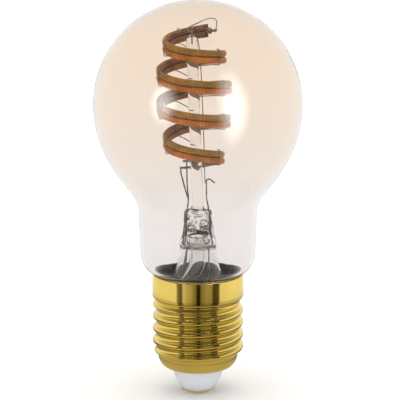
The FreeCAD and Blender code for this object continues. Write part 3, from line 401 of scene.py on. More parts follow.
def brass(name, tone, rough):
    """Bright rolled brass with drawn lines round it and slightly dull hollows."""
    made = Finish(name)
    cloud = made.grain(90.0, 3.0)
    lines = made.grain(1.0, 2.0, stretch=(60, 60, 9000))
    shade = made.blend(
        made.between(cloud, 0.3, 0.75), scaled(tone, 0.94), scaled(tone, 1.04))
    dull = made.between(made.grain(240.0, 4.0), 0.35, 0.8, rough * 0.7, rough * 1.7)
    return made.done(made.principled({
        "Base Color": shade, "Metallic": 1.0, "Roughness": dull,
        "Normal": made.bump(lines, 0.000004)}))


def nickel(tones):
    """Drawn wire, dull grey with darker patches from the flame."""
    made = Finish("nickel_wire")
    patch = made.between(made.grain(420.0, 3.0), 0.35, 0.7)
    shade = made.blend(patch, scaled(tones.nickel, 0.55), scaled(tones.nickel, 1.2))
    scratch = made.grain(2600.0, 2.0)
    return made.done(made.principled({
        "Base Color": shade, "Metallic": 0.85,
        "Roughness": made.between(scratch, 0.2, 0.8, 0.28, 0.5),
        "Normal": made.bump(scratch, 0.00001)}))


def bead_silicone(name, tone, ripple):
    """Phosphor silicone: lumpy, darker between its chips, a little see-through."""
    made = Finish(name)
    along = made.attribute("along")
    around = made.attribute("around")
    speck = made.grain(1500.0, 4.0, rough=0.65)
    wander = made.math("MULTIPLY", made.grain(500.0, 2.0), 0.0009)
    beat = made.math("SINE", made.math("MULTIPLY", made.math("ADD", along, wander), ripple))
    crest = made.between(beat, -1.0, 1.0)
    edge = made.between(made.math("ABSOLUTE", made.math("SUBTRACT", around, 0.5)), 0.24, 0.5)
    cloud = made.between(made.grain(260.0, 3.0), 0.3, 0.72)
    body = made.blend(cloud, scaled(tone, 0.66), scaled(tone, 1.30))
    ribbed = made.blend(made.math("MULTIPLY", crest, 0.55), body, scaled(tone, 0.55))
    edged = made.blend(made.math("MULTIPLY", edge, 0.3), ribbed, scaled(tone, 1.35))
    flecks = made.blend(
        made.between(speck, 0.60, 0.74, 0.0, 0.4), edged, scaled(tone, 0.5))
    relief = made.math("ADD", made.math("MULTIPLY", crest, 0.5), speck)
    return made.done(made.principled({
        "Base Color": flecks, "Roughness": made.between(speck, 0.3, 0.7, 0.32, 0.55),
        "Subsurface Weight": 0.12, "Subsurface Radius": (1.0, 0.5, 0.25),
        "Subsurface Scale": 0.0003, "Coat Weight": 0.05, "Coat Roughness": 0.3,
        "Normal": made.bump(relief, 0.00010)}))


def strip_film():
    """Brown film with copper tracks along it."""
    made = Finish("strip_film")
    tracks = made.between(made.grain(700.0, 1.0, stretch=(1, 1, 4)), 0.48, 0.52)
    shade = made.blend(tracks, (0.12, 0.050, 0.015), (0.30, 0.120, 0.040))
    return made.done(made.principled({
        "Base Color": shade, "Roughness": made.between(tracks, 0, 1, 0.5, 0.32),
        "Metallic": made.math("MULTIPLY", tracks, 0.6),
        "Normal": made.bump(tracks, 0.00002)}))


def moulded(name, tone, rough=0.4, grain_size=1800.0, depth=0.00002, coat=0.0, shine=0.5):
    """Moulded or coated part with a fine grain and slightly uneven colour."""
    made = Finish(name)
    fine = made.grain(grain_size, 4.0)
    cloud = made.between(made.grain(grain_size / 14, 2.0), 0.3, 0.7)
    shade = made.blend(cloud, scaled(tone, 0.93), scaled(tone, 1.06))
    return made.done(made.principled({
        "Base Color": shade, "Roughness": made.between(fine, 0.2, 0.8, rough * 0.85, rough * 1.2),
        "Coat Weight": coat, "Specular IOR Level": shine,
        "Normal": made.bump(fine, depth)}))


def metal(name, tone, rough=0.3, grain_size=900.0, stretch=(1, 1, 1)):
    """Plain metal with fine scratches."""
    made = Finish(name)
    fine = made.grain(grain_size, 4.0, stretch=stretch)
    shade = made.blend(made.between(fine, 0.3, 0.7), scaled(tone, 0.85), scaled(tone, 1.1))
    return made.done(made.principled({
        "Base Color": shade, "Metallic": 1.0,
        "Roughness": made.between(fine, 0.25, 0.75, rough * 0.8, rough * 1.3),
        "Normal": made.bump(fine, 0.00001)}))


def circuit_board(name, mask, copper):
    """Solder mask with raised tracks and bright pads."""
    made = Finish(name)
    cells = made.add("TexVoronoi", {
        "Vector": made.place(), "Scale": 620.0, "Randomness": 0.35},
        distance="MANHATTAN", feature="F1").outputs["Distance"]
    track = made.between(cells, 0.46, 0.54)
    pad = made.between(cells, 0.10, 0.14, 1.0, 0.0)
    shade = made.blend(pad, made.blend(track, mask, scaled(mask, 1.7)), copper)
    return made.done(made.principled({
        "Base Color": shade, "Roughness": made.between(pad, 0, 1, 0.34, 0.2),
        "Metallic": pad, "Normal": made.bump(made.math("ADD", track, pad), 0.00003)}))


def cement_finish(tones):
    """Baked base cement: dark, gritty and cracked."""
    made = Finish("cement")
    grit = made.grain(1100.0, 5.0, rough=0.7)
    blotch = made.between(made.grain(220.0, 2.0), 0.3, 0.7)
    shade = made.blend(blotch, scaled(tones.cement, 0.6), scaled(tones.cement, 1.7))
    return made.done(made.principled({
        "Base Color": shade, "Roughness": 0.9, "Specular IOR Level": 0.05,
        "Normal": made.bump(grit, 0.00025)}))


# ---------------------------------------------------------------- the coil's line

def coil_at(coil, turns):
    """Middle of the strip after so many turns, as a matrix: X outward, Z up."""
    way = turns / coil.turns
    drop = coil.drop * ((1 - coil.spread) * way + coil.spread * way * way)
    radius = coil.end_radius + coil.belly * math.sin(math.pi * way)
    turn = Matrix.Rotation(coil.start + 2 * math.pi * turns, 4, "Z")
    top = CROWN_Z - GLOBE_RADIUS + coil.rise
    return lean_about_pinch(coil) @ Matrix.Translation((0, 0, top - drop)) @ turn \
        @ Matrix.Translation((radius, 0, 0))


def lean_about_pinch(coil):
    """The lean that the whole mount stands at."""
    pivot = Vector((0, 0, PINCH_TOP_Z))
    return Matrix.Translation(pivot) @ Matrix.Rotation(-coil.lean, 4, "Y") \
        @ Matrix.Translation(-pivot)


def sweep_bead(coil, side, middle, thickness, step, seed):
    """A bead of silicone along the coil, on one face of the strip and over one string."""
    half = (coil.strip_height - coil.seam) / 4
    face = coil.strip_thickness / 2
    bare = coil.bare_end / (2 * math.pi * coil.end_radius)
    first, last = bare, coil.turns - bare
    run = coil.turns * 2 * math.pi * (coil.end_radius + 0.64 * coil.belly)
    count = round(run / step)
    bm = bmesh.new()
    along = bm.verts.layers.float.new("along")
    around = bm.verts.layers.float.new("around")
    bmesh.ops.create_circle(bm, segments=14, radius=1.0, cap_ends=False)
    for vert in bm.verts:
        level = math.asin(max(-1.0, min(1.0, vert.co.y))) / math.pi
        vert[around] = 0.5 + level
    edges = bm.edges[:]
    verts = bm.verts[:]
    shapes = [Vector(vert.co) for vert in verts]
    rings = []
    for index in range(count + 1):
        way = index / count
        turns = first + (last - first) * way
        here = coil_at(coil, turns)
        taper = min(1.0, 5 * math.sqrt(max(min(way, 1 - way) * count, 0.15) / 40))
        if index:
            made = bmesh.ops.extrude_edge_only(bm, edges=edges)["geom"]
            fresh = {item for item in made if isinstance(item, bmesh.types.BMVert)}
            verts = sorted(fresh, key=lambda vert: nearest_before(vert, fresh).index)
            edges = [item for item in made if isinstance(item, bmesh.types.BMEdge)
                     and item.verts[0] in fresh and item.verts[1] in fresh]
            bm.verts.index_update()
        rings.append((verts, edges))
        for vert, shape in zip(verts, shapes):
            swell = taper * (1 + 0.16 * noise.noise(Vector((way * run * 900, seed, shape.y))))
            swell *= 1 + 0.12 * noise.noise(Vector((way * run * 2600, seed + 7, shape.y * 2)))
            sag = 1 + 0.06 * noise.noise(Vector((way * run * 700, seed + 3, shape.x)))
            bulge = max(shape.x, 0.0) ** 0.6
            out = face + (thickness * swell * bulge if shape.x > 0 else 0.0)
            up = middle + half * shape.y * sag * (0.6 + 0.4 * taper)
            vert.co = here @ Vector((side * out, 0, up))
            vert[along] = way * run
    bmesh.ops.holes_fill(bm, edges=bm.edges[:], sides=0)
    bmesh.ops.remove_doubles(bm, verts=bm.verts[:], dist=1e-6)
    bmesh.ops.recalc_face_normals(bm, faces=bm.faces[:])
    return bm


def nearest_before(vert, fresh):
    """The vertex of the ring before that vert was drawn out from."""
    for edge in vert.link_edges:
        other = edge.other_vert(vert)
        if other not in fresh:
            return other
    raise ValueError("a ring lost its way")


# ---------------------------------------------------------------- operators

def settings():
    return bpy.context.scene.spiral_bulb


class BlowEnvelope(bpy.types.Operator):
    """Blow the globe, cone and neck in amber glass"""

    bl_idname = "bulb.blow_envelope"
    bl_label = "Blow Envelope"

    def execute(self, context):
        sizes = settings().envelope
        slope = sizes.cone_slope
        draft = sizes.neck_draft
        foot_x = sizes.neck_radius - sizes.foot_curve * math.cos(draft)
        foot_turn = math.acos((sizes.skirt_radius - foot_x) / sizes.foot_curve)
        foot_z = RIM_Z - 0.0001 + sizes.foot_curve * math.sin(foot_turn)
        meet_z = RIM_Z + sizes.neck_height
        meet_x = sizes.neck_radius + math.tan(draft) * (
            meet_z - foot_z + sizes.foot_curve * math.sin(draft))
        setback = sizes.neck_fillet * math.tan((slope - draft) / 2)
        fillet_x = meet_x - setback * math.sin(draft)
        fillet_z = meet_z - setback * math.cos(draft)
        globe_z = CROWN_Z - GLOBE_RADIUS
        shoulder = GLOBE_RADIUS + sizes.shoulder_growth
        bm = bmesh.new()
        end = bm.verts.new((sizes.skirt_radius, 0, RIM_Z - sizes.skirt_length))
        end = line_to(bm, end, (sizes.skirt_radius, 0, RIM_Z - 0.0001))
        end = arc_round(bm, end, (foot_x, 0, foot_z), foot_turn - draft, 10)
        end = line_to(bm, end, (fillet_x, 0, fillet_z))
        end = arc_round(
            bm, end,
            (fillet_x + sizes.neck_fillet * math.cos(draft), 0,
             fillet_z - sizes.neck_fillet * math.sin(draft)),
            draft - slope, 12)
        end = line_to(bm, end, (
            shoulder * math.cos(slope) - sizes.shoulder_growth, 0,
            globe_z - shoulder * math.sin(slope)))
        end = arc_round(bm, end, (-sizes.shoulder_growth, 0, globe_z), slope, 16)
        arc_round(bm, end, (0, 0, globe_z), math.pi / 2, 36)
        turn_profile(bm, 128)
        piece = add_piece(
            "blown_envelope", bm, amber_glass(settings().finishes),
            ["glass_envelope"])
        thicken(piece, sizes.wall)
        return {"FINISHED"}


class RollCap(bpy.types.Operator):
    """Roll the brass shell with its thread, collar and rounded bottom"""

    bl_idname = "bulb.roll_cap"
    bl_label = "Roll Cap"

    def execute(self, context):
        sizes = settings().cap
        thread_top = RIM_Z - sizes.collar_height
        floor_z = LIP_Z + sizes.floor_height
        curl = sizes.rim_curl
        bm = bmesh.new()
        end = bm.verts.new((sizes.collar_radius - curl, 0, RIM_Z))
        end = arc_round(
            bm, end, (sizes.collar_radius - curl, 0, RIM_Z - curl), -math.pi / 2, 4)
        for step in range(1, 7):
            end = line_to(bm, end, (
                sizes.collar_radius, 0, RIM_Z - curl + (thread_top - RIM_Z + curl) * step / 6))
        rows = 84
        for step in range(1, rows + 1):
            end = line_to(bm, end, (
                sizes.collar_radius, 0, thread_top + (floor_z - thread_top) * step / rows))
        turn_profile(bm, 144)
        for vert in bm.verts:
            if vert.co.z < RIM_Z - 2 * curl:
                turn = math.atan2(vert.co.y, vert.co.x) / (2 * math.pi)
                ratio = self.radius_at(sizes, vert.co.z, turn) / sizes.collar_radius
                vert.co.x *= ratio
                vert.co.y *= ratio
        self.close_floor(bm, sizes, floor_z)
        bmesh.ops.recalc_face_normals(bm, faces=bm.faces[:])
        piece = add_piece(
            "rolled_shell", bm, brass("cap_brass", settings().finishes.brass, 0.10),
            ["cap_shell"])
        thicken(piece, sizes.sheet)
        return {"FINISHED"}

    @staticmethod
    def close_floor(bm, sizes, floor_z):
        """Draws the lowest ring in, step by step, to the hole for the insulator."""
        ring = [edge for edge in bm.edges
                if edge.is_boundary and edge.verts[0].co.z < floor_z + 1e-5]
        wide = sizes.floor_radius - sizes.lip_radius
        steps = 10
        for step in range(1, steps + 1):
            slope = math.pi / 2 * step / steps
            before = math.pi / 2 * (step - 1) / steps
            reach = (sizes.lip_radius + wide * math.cos(slope)) / (
                sizes.lip_radius + wide * math.cos(before))
            sink = sizes.floor_height * (math.sin(before) - math.sin(slope))
            made = bmesh.ops.extrude_edge_only(bm, edges=ring)["geom"]
            fresh = [item for item in made if isinstance(item, bmesh.types.BMVert)]
            bmesh.ops.scale(bm, vec=(reach, reach, 1), verts=fresh)
            bmesh.ops.translate(bm, vec=(0, 0, sink), verts=fresh)
            ring = [item for item in made if isinstance(item, bmesh.types.BMEdge)
                    and item.verts[0] in fresh and item.verts[1] in fresh]

    @staticmethod
    def radius_at(sizes, height, turn):
        """Outside of the shell: collar, thread with its run-in and run-out, and belly."""
        floor_z = LIP_Z + sizes.floor_height
        thread_top = RIM_Z - sizes.collar_height
        pitch = sizes.pitch
        belly = sizes.crest_radius - sizes.thread_depth
        radius = sizes.floor_radius
        radius += (belly - radius) * soft_step(floor_z - 0.2 * pitch, floor_z + 0.5 * pitch, height)
        radius += (sizes.collar_radius - belly) * soft_step(
            thread_top - 0.4 * pitch, thread_top, height)
        run_in = soft_step(floor_z - 0.1 * pitch, floor_z + 0.55 * pitch, height)
        run_out = soft_step(thread_top - 0.75 * pitch, thread_top - 0.15 * pitch, height)
        return radius + thread_swell(sizes, height, turn) * run_in * (1 - run_out)


def soft_step(low, high, value):
    """0 below low, 1 above high, and a soft rise between them."""
    way = min(max((value - low) / (high - low), 0.0), 1.0)
    return way * way * (3 - 2 * way)


def thread_swell(sizes, height, turn):
    """Height of the thread over its root: equal arcs, tangent to each other."""
    pitch = sizes.pitch
    depth = sizes.thread_depth
    radius = (pitch * pitch / 4 + depth * depth) / (4 * depth)
    way = (height - LIP_Z - sizes.crest_height) / pitch - turn
    away = abs(way - round(way)) * pitch
    if away < pitch / 4:
        return depth - radius + math.sqrt(radius * radius - away * away)
    away = pitch / 2 - away
    return radius - math.sqrt(radius * radius - away * away)


class MouldInsulator(bpy.types.Operator):
    """Mould the white cone below the shell"""

    bl_idname = "bulb.mould_insulator"
    bl_label = "Mould Insulator"

    def execute(self, context):
        sizes = settings().cap
        low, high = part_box("cap_insulator")
        flange_z = high.z - 0.0013
        foot = Vector((sizes.cone_foot, 0, low.z))
        top = Vector((sizes.cone_top, 0, LIP_Z))
        chord = top - foot
        bulge = sizes.cone_bulge
        curve = (chord.length_squared / 4 + bulge * bulge) / (2 * bulge)
        turn = 2 * math.asin(chord.length / (2 * curve))
        outward = Vector((chord.z, 0, -chord.x)).normalized()
        centre = (foot + top) / 2 - outward * (curve - bulge)
        bm = bmesh.new()
        end = bm.verts.new((sizes.pin_hole, 0, low.z + sizes.cone_floor))
        end = line_to(bm, end, (sizes.pin_hole, 0, low.z))
        end = line_to(bm, end, (sizes.cone_foot - 0.0001, 0, low.z))
        end = line_to(bm, end, foot + Vector((0, 0, 0.0001)))
        end = arc_round(bm, end, centre, turn * 0.98, 16)
        for radius, height in (
                (sizes.cone_top, LIP_Z), (sizes.cone_top, flange_z), (high.x - 0.0002, flange_z),
                (high.x, flange_z + 0.0002), (high.x, high.z - 0.0002),
                (high.x - 0.0002, high.z), (sizes.cone_bore, high.z), (sizes.cone_bore, LIP_Z),
                (sizes.cone_foot - 0.0009, low.z + sizes.cone_floor),
                (sizes.pin_hole, low.z + sizes.cone_floor)):
            end = line_to(bm, end, (radius, 0, height))
        turn_profile(bm, 96)
        add_piece(
            "moulded_cone", bm,
            moulded("insulator_white", settings().finishes.insulator, 0.3, 700.0, 0.00002, 0.25),
            ["cap_insulator"])
        refinish(brass("contact_brass", (0.78, 0.62, 0.34), 0.22), "end_contact", "radio_pins")
        return {"FINISHED"}


class CoatFilament(bpy.types.Operator):
    """Lay the silicone beads along the coiled strip"""

    bl_idname = "bulb.coat_filament"
    bl_label = "Coat Filament"

    def execute(self, context):
        coil = settings().coil
        tones = settings().finishes
        lift = (coil.strip_height + coil.seam) / 4
        outer = {
            "cool": bead_silicone("cool_bead", tones.cool_bead, 8200.0),
            "warm": bead_silicone("warm_bead", tones.warm_bead, 6900.0),
        }
        inner = {
            "cool": bead_silicone("cool_bead_inside", tones.inner_bead, 8200.0),
            "warm": bead_silicone("warm_bead_inside", scaled(tones.inner_bead, 1.15), 6900.0),
        }
        for seed, (string, middle) in enumerate((("cool", lift), ("warm", -lift))):
            bm = sweep_bead(coil, 1, middle, coil.outer_bead, 0.00032, seed)
            add_piece(f"{string}_bead_outer", bm, outer[string],
                      [f"phosphor_{string}_outer"])
            bm = sweep_bead(coil, -1, middle, coil.inner_bead, 0.0004, seed + 20)
            add_piece(f"{string}_bead_inner", bm, inner[string],
                      [f"phosphor_{string}_inner"])
        refinish(strip_film(), "filament_substrate")
        refinish(moulded("led_chip", (0.72, 0.66, 0.42), 0.3), "led_chips")
        return {"FINISHED"}


class PressStem(bpy.types.Operator):
    """Press the stem glass round its wires, and set the post in it"""

    bl_idname = "bulb.press_stem"
    bl_label = "Press Stem"

    def execute(self, context):
        sizes = settings().stem
        tones = settings().finishes
        clear = glass("stem_glass", tones.stem_glass, (0.97, 0.96, 0.95), 0.0001)
        self.stem(sizes, pressed_glass(sizes, tones))
        self.post(sizes, clear)
        refinish(clear, "exhaust_tube")
        return {"FINISHED"}

    def stem(self, sizes, clear):
        """Flared tube and pinch in one skin, with the bubbles blown in it."""
        envelope = settings().envelope
        foot_z = PINCH_TOP_Z - sizes.pinch_height
        bend_z = foot_z - 0.0013
        skirt_z = RIM_Z - envelope.skirt_length
        run = envelope.skirt_radius - envelope.wall - 0.0001 - sizes.tube_radius
        drop = bend_z - skirt_z
        curve = (drop * drop + run * run) / (2 * run)
        inner = curve + sizes.tube_wall
        turn = math.asin(drop / curve)
        inner_turn = math.asin((bend_z - skirt_z + sizes.lip) / inner)
        bore = sizes.tube_radius - sizes.tube_wall
        centre = (sizes.tube_radius + curve, 0, bend_z)
        bm = bmesh.new()
        end = bm.verts.new((0, 0, foot_z - 0.0002))
        end = line_to(bm, end, (bore * 0.6, 0, foot_z - 0.0003))
        end = line_to(bm, end, (bore * 0.93, 0, foot_z - 0.0008))
        end = line_to(bm, end, (bore, 0, bend_z))
        end = arc_round(bm, end, centre, inner_turn, 14)
        end = line_to(bm, end, (envelope.skirt_radius, 0, skirt_z - sizes.lip))
        end = line_to(bm, end, (envelope.skirt_radius, 0, skirt_z))
        end = line_to(bm, end, (sizes.tube_radius + run, 0, skirt_z))
        end = arc_round(bm, end, centre, -turn, 14)
        line_to(bm, end, (sizes.tube_radius, 0, foot_z))
        turn_profile(bm, 96)
        self.pinch(bm, sizes, foot_z)
        add_piece("stem_glass", bm, clear, ["stem_flare"])

    @staticmethod
    def pinch(bm, sizes, foot_z):
        """Draws the tube's upper ring up through the pinch and closes it."""
        ring = [edge for edge in bm.edges if edge.is_boundary]
        stages = ((0.08, 5.2, 5.1), (0.16, 4.95, 4.4), (0.25, 4.7, 3.7), (0.36, 4.45, 3.05),
                  (0.46, 4.3, 2.75), (0.56, 4.2, 2.65), (0.66, 4.1, 2.6), (0.76, 4.0, 2.5),
                  (0.86, 3.85, 2.3), (0.93, 3.6, 2.0), (0.975, 3.1, 1.5), (1.0, 2.0, 0.9))
        wide_scale = sizes.pinch_width / 0.0086
        thin_scale = sizes.pinch_thickness / 0.0048
        last = (0.0, sizes.tube_radius * 1000, sizes.tube_radius * 1000)
        fresh = []
        for stage in stages:
            level, wide, thin = stage[0], stage[1] * wide_scale, stage[2] * thin_scale
            made = bmesh.ops.extrude_edge_only(bm, edges=ring)["geom"]
            fresh = [item for item in made if isinstance(item, bmesh.types.BMVert)]
            bmesh.ops.scale(bm, vec=(wide / last[1], thin / last[2], 1), verts=fresh)
            rise = (level - last[0]) * sizes.pinch_height
            bmesh.ops.translate(bm, vec=(0, 0, rise), verts=fresh)
            ring = [item for item in made if isinstance(item, bmesh.types.BMEdge)
                    and item.verts[0] in fresh and item.verts[1] in fresh]
            last = (level, wide, thin)
        bmesh.ops.contextual_create(bm, geom=ring)
        bmesh.ops.poke(bm, faces=[face for face in bm.faces if len(face.verts) > 8])
        for vert in bm.verts:
            near = soft_step(foot_z, foot_z + 0.003, vert.co.z)
            if near > 0:
                wobble = noise.noise_vector(vert.co * 330) + noise.noise_vector(vert.co * 800) * 0.5
                vert.co += wobble * (sizes.unevenness * near)
        bmesh.ops.recalc_face_normals(bm, faces=bm.faces[:])
        bubbles = (
            ((0.0017, -0.0011, foot_z + 0.0058), (0.0015, 0.0009, 0.0017)),
            ((-0.0017, -0.0010, foot_z + 0.0046), (0.0014, 0.0009, 0.0013)),
            ((-0.0021, -0.0012, foot_z + 0.0060), (0.0005, 0.0004, 0.0007)),
            ((-0.0009, -0.0013, foot_z + 0.0040), (0.0004, 0.0003, 0.0006)),
            ((-0.0024, 0.0004, foot_z + 0.0078), (0.0006, 0.0004, 0.0010)),
            ((0.0004, 0.0006, foot_z + 0.0083), (0.0009, 0.0004, 0.0005)),
        )
        for place, radii in bubbles:
            scale = Matrix.Diagonal((*radii, 1.0))
            made = bmesh.ops.create_icosphere(
                bm, subdivisions=3, radius=1.0, matrix=Matrix.Translation(place) @ scale)
            faces = {face for vert in made["verts"] for face in vert.link_faces}
            bmesh.ops.reverse_faces(bm, faces=list(faces))

    @staticmethod
    def post(sizes, clear):
        """Round rod with a fire-polished top, sunk a little in the pinch."""
        coil = settings().coil
        top = CROWN_Z - GLOBE_RADIUS + coil.rise - 0.0003
        bm = bmesh.new()
        end = bm.verts.new((0, 0, PINCH_TOP_Z - 0.0004))
        end = line_to(bm, end, (sizes.post_radius * 1.12, 0, PINCH_TOP_Z - 0.0004))
        end = line_to(bm, end, (sizes.post_radius, 0, PINCH_TOP_Z + 0.0009))
        for step in range(1, 13):
            height = PINCH_TOP_Z + 0.0009 + (
                top - sizes.post_radius - PINCH_TOP_Z - 0.0009) * step / 12
            end = line_to(bm, end, (sizes.post_radius, 0, height))
        arc_round(bm, end, (0, 0, top - sizes.post_radius), math.pi / 2, 12)
        turn_profile(bm, 48)
        bmesh.ops.transform(bm, matrix=lean_about_pinch(coil), verts=bm.verts[:])
        add_piece("post_glass", bm, clear, ["centre_post"])


class FitWires(bpy.types.Operator):
    """Finish the leads, supports and clips, and weld them"""

    bl_idname = "bulb.fit_wires"
    bl_label = "Fit Wires"

    def execute(self, context):
        wire = nickel(settings().finishes)
        refinish(wire, "support_wire", "top_anchor_wire", "lead_")
        refinish(metal("seal_copper", (0.17, 0.095, 0.070), 0.45), "seal_")
        coil = settings().coil
        lift = (coil.strip_height + coil.seam) / 4
        self.weld(wire)
        self.clip(wire, "common", 0.0, (
            ((0, -0.0001, 0), (0.0007, 0.0022, 0.0017)),
            ((0, -0.0022, 0.0001), (0.0004, 0.0022, 0.0007))))
        self.clip(wire, "cool", coil.turns, (
            ((0, 0, lift), (0.0006, 0.0019, 0.0011)),
            ((0, 0.0019, lift + 0.0001), (0.0004, 0.0022, 0.0006))))
        self.clip(wire, "warm", coil.turns, (
            ((0, 0, -lift), (0.0006, 0.0019, 0.0011)),
            ((0, 0.0024, -lift + 0.0001), (0.0004, 0.0032, 0.0006))))
        self.return_wire(wire)
        return {"FINISHED"}

    @staticmethod
    def clip(wire, role, turns, plates):
        """Folded clip on an end of the strip, with a narrow tab for its wire."""
        bm = bmesh.new()
        for middle, size in plates:
            bmesh.ops.create_cube(bm, size=1.0, matrix=coil_at(settings().coil, turns)
                                  @ Matrix.Translation(middle) @ Matrix.Diagonal((*size, 1.0)))
        bmesh.ops.bevel(bm, geom=bm.edges[:], offset=0.0001, offset_type="OFFSET", segments=2,
                        profile=0.5, affect="EDGES", material=-1)
        add_piece(f"folded_clip_{role}", bm, wire, [f"terminal_{role}"])

    @staticmethod
    def return_wire(wire):
        """Thin wire from the common lead, up beside the post and over to the clip."""
        coil = settings().coil
        low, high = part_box("common_return_wire")
        top = CROWN_Z - GLOBE_RADIUS + coil.rise
        tab = coil_at(coil, 0.0) @ Vector((0, -0.0032, 0.0006))
        lean = lean_about_pinch(coil)
        foot = Vector((0.00205, 0, low.z))
        beside = [lean @ Vector(spot) for spot in (
            (0.00235, -0.0003, PINCH_TOP_Z + 0.013), (0.0024, 0, (PINCH_TOP_Z + top) / 2),
            (0.0023, 0.0004, top - 0.004), (0.0014, 0.0008, top - 0.0002),
            (-0.0012, 0.0006, top + 0.0006), (-0.0016, 0.0004, top + 0.0016))]
        arch = [Vector((0.0002, 0.0006, high.z - 0.0010)), Vector((0.0028, 0.0010, high.z + 0.0002)),
                Vector((tab.x - 0.0004, tab.y, high.z + 0.0002)),
                tab + Vector((0.0005, 0, 0.0024)), tab]
        route = [foot, foot + Vector((0, 0, 0.0016))] + beside + arch
        line = bpy.data.curves.new("return_wire", "CURVE")
        line.dimensions = "3D"
        line.bevel_depth = 0.00014
        line.bevel_resolution = 3
        line.resolution_u = 8
        line.use_fill_caps = True
        spline = line.splines.new("NURBS")
        spline.points.add(len(route) - 1)
        for point, place in zip(spline.points, route):
            point.co = (*place, 1.0)
        spline.order_u = 4
        spline.use_endpoint_u = True
        line.materials.append(wire)
        piece = bpy.data.objects.new("return_wire", line)
        bpy.context.scene.collection.objects.link(piece)
        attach(piece, "root")
        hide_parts("common_return_wire")

    @staticmethod
    def weld(wire):
        """Squashed nuggets where thin wire is welded to a clip or to a lead."""
        coil = settings().coil
        tab = coil_at(coil, 0.0) @ Vector((0, -0.0031, 0.0005))
        bm = bmesh.new()
        bmesh.ops.create_uvsphere(
            bm, u_segments=16, v_segments=10, radius=0.00042,
            matrix=Matrix.Translation(tab) @ Matrix.Diagonal((1.2, 1.2, 0.7, 1.0)))
        for vert in bm.verts:
            vert.co += noise.noise_vector(vert.co * 3000) * 0.00005
        bmesh.ops.recalc_face_normals(bm, faces=bm.faces[:])
        add_piece("weld_nuggets", bm, wire)


class FitDriver(bpy.types.Operator):
    """Finish the cement, cover disc, boards and parts inside the cap"""

    bl_idname = "bulb.fit_driver"
    bl_label = "Fit Driver"

    def execute(self, context):
        refinish(cement_finish(settings().finishes), "cement_ring")
        refinish(moulded(
            "cover_fibre", (0.020, 0.017, 0.015), 0.7, 900.0, 0.00008, shine=0.05), "cover_disc")
        refinish(moulded("sleeve_film", (0.030, 0.026, 0.022), 0.35), "insulating_sleeve")
        refinish(circuit_board("circuit_board", (0.010, 0.085, 0.028), (0.86, 0.60, 0.28)),
                 "driver_board")
        refinish(circuit_board("radio_circuit_board", (0.008, 0.018, 0.085), (0.86, 0.60, 0.28)),
                 "radio_board")
        refinish(metal("aluminium_can", (0.72, 0.73, 0.75), 0.3, 500.0, (1, 1, 40)),
                 "bulk_capacitor")
        refinish(metal("tinned_steel", (0.60, 0.61, 0.62), 0.35), "radio_shield")
        refinish(metal("tinned_lead", (0.55, 0.54, 0.52), 0.4), "live_lead", "neutral_lead")
        refinish(moulded("ferrite", (0.035, 0.033, 0.034), 0.7, 1500.0, 0.00006), "inductor_core")
        refinish(metal("enamelled_copper", (0.62, 0.24, 0.08), 0.3, 1.0, (60, 60, 5200)),
                 "inductor_winding")
        refinish(moulded("film_box", (0.45, 0.03, 0.02), 0.3, 900.0, 0.00004, 0.4),
                 "film_capacitor")
        refinish(moulded("fuse_body", (0.22, 0.36, 0.28), 0.45), "fusible_resistor")
        refinish(moulded("ceramic_parts", (0.34, 0.23, 0.14), 0.4), "chip_passives")
        refinish(moulded("black_plastic", (0.012, 0.012, 0.013), 0.45, 2200.0, 0.00003),
                 "bridge_rectifier", "driver_ic", "channel_mosfets", "radio_chip")
        return {"FINISHED"}


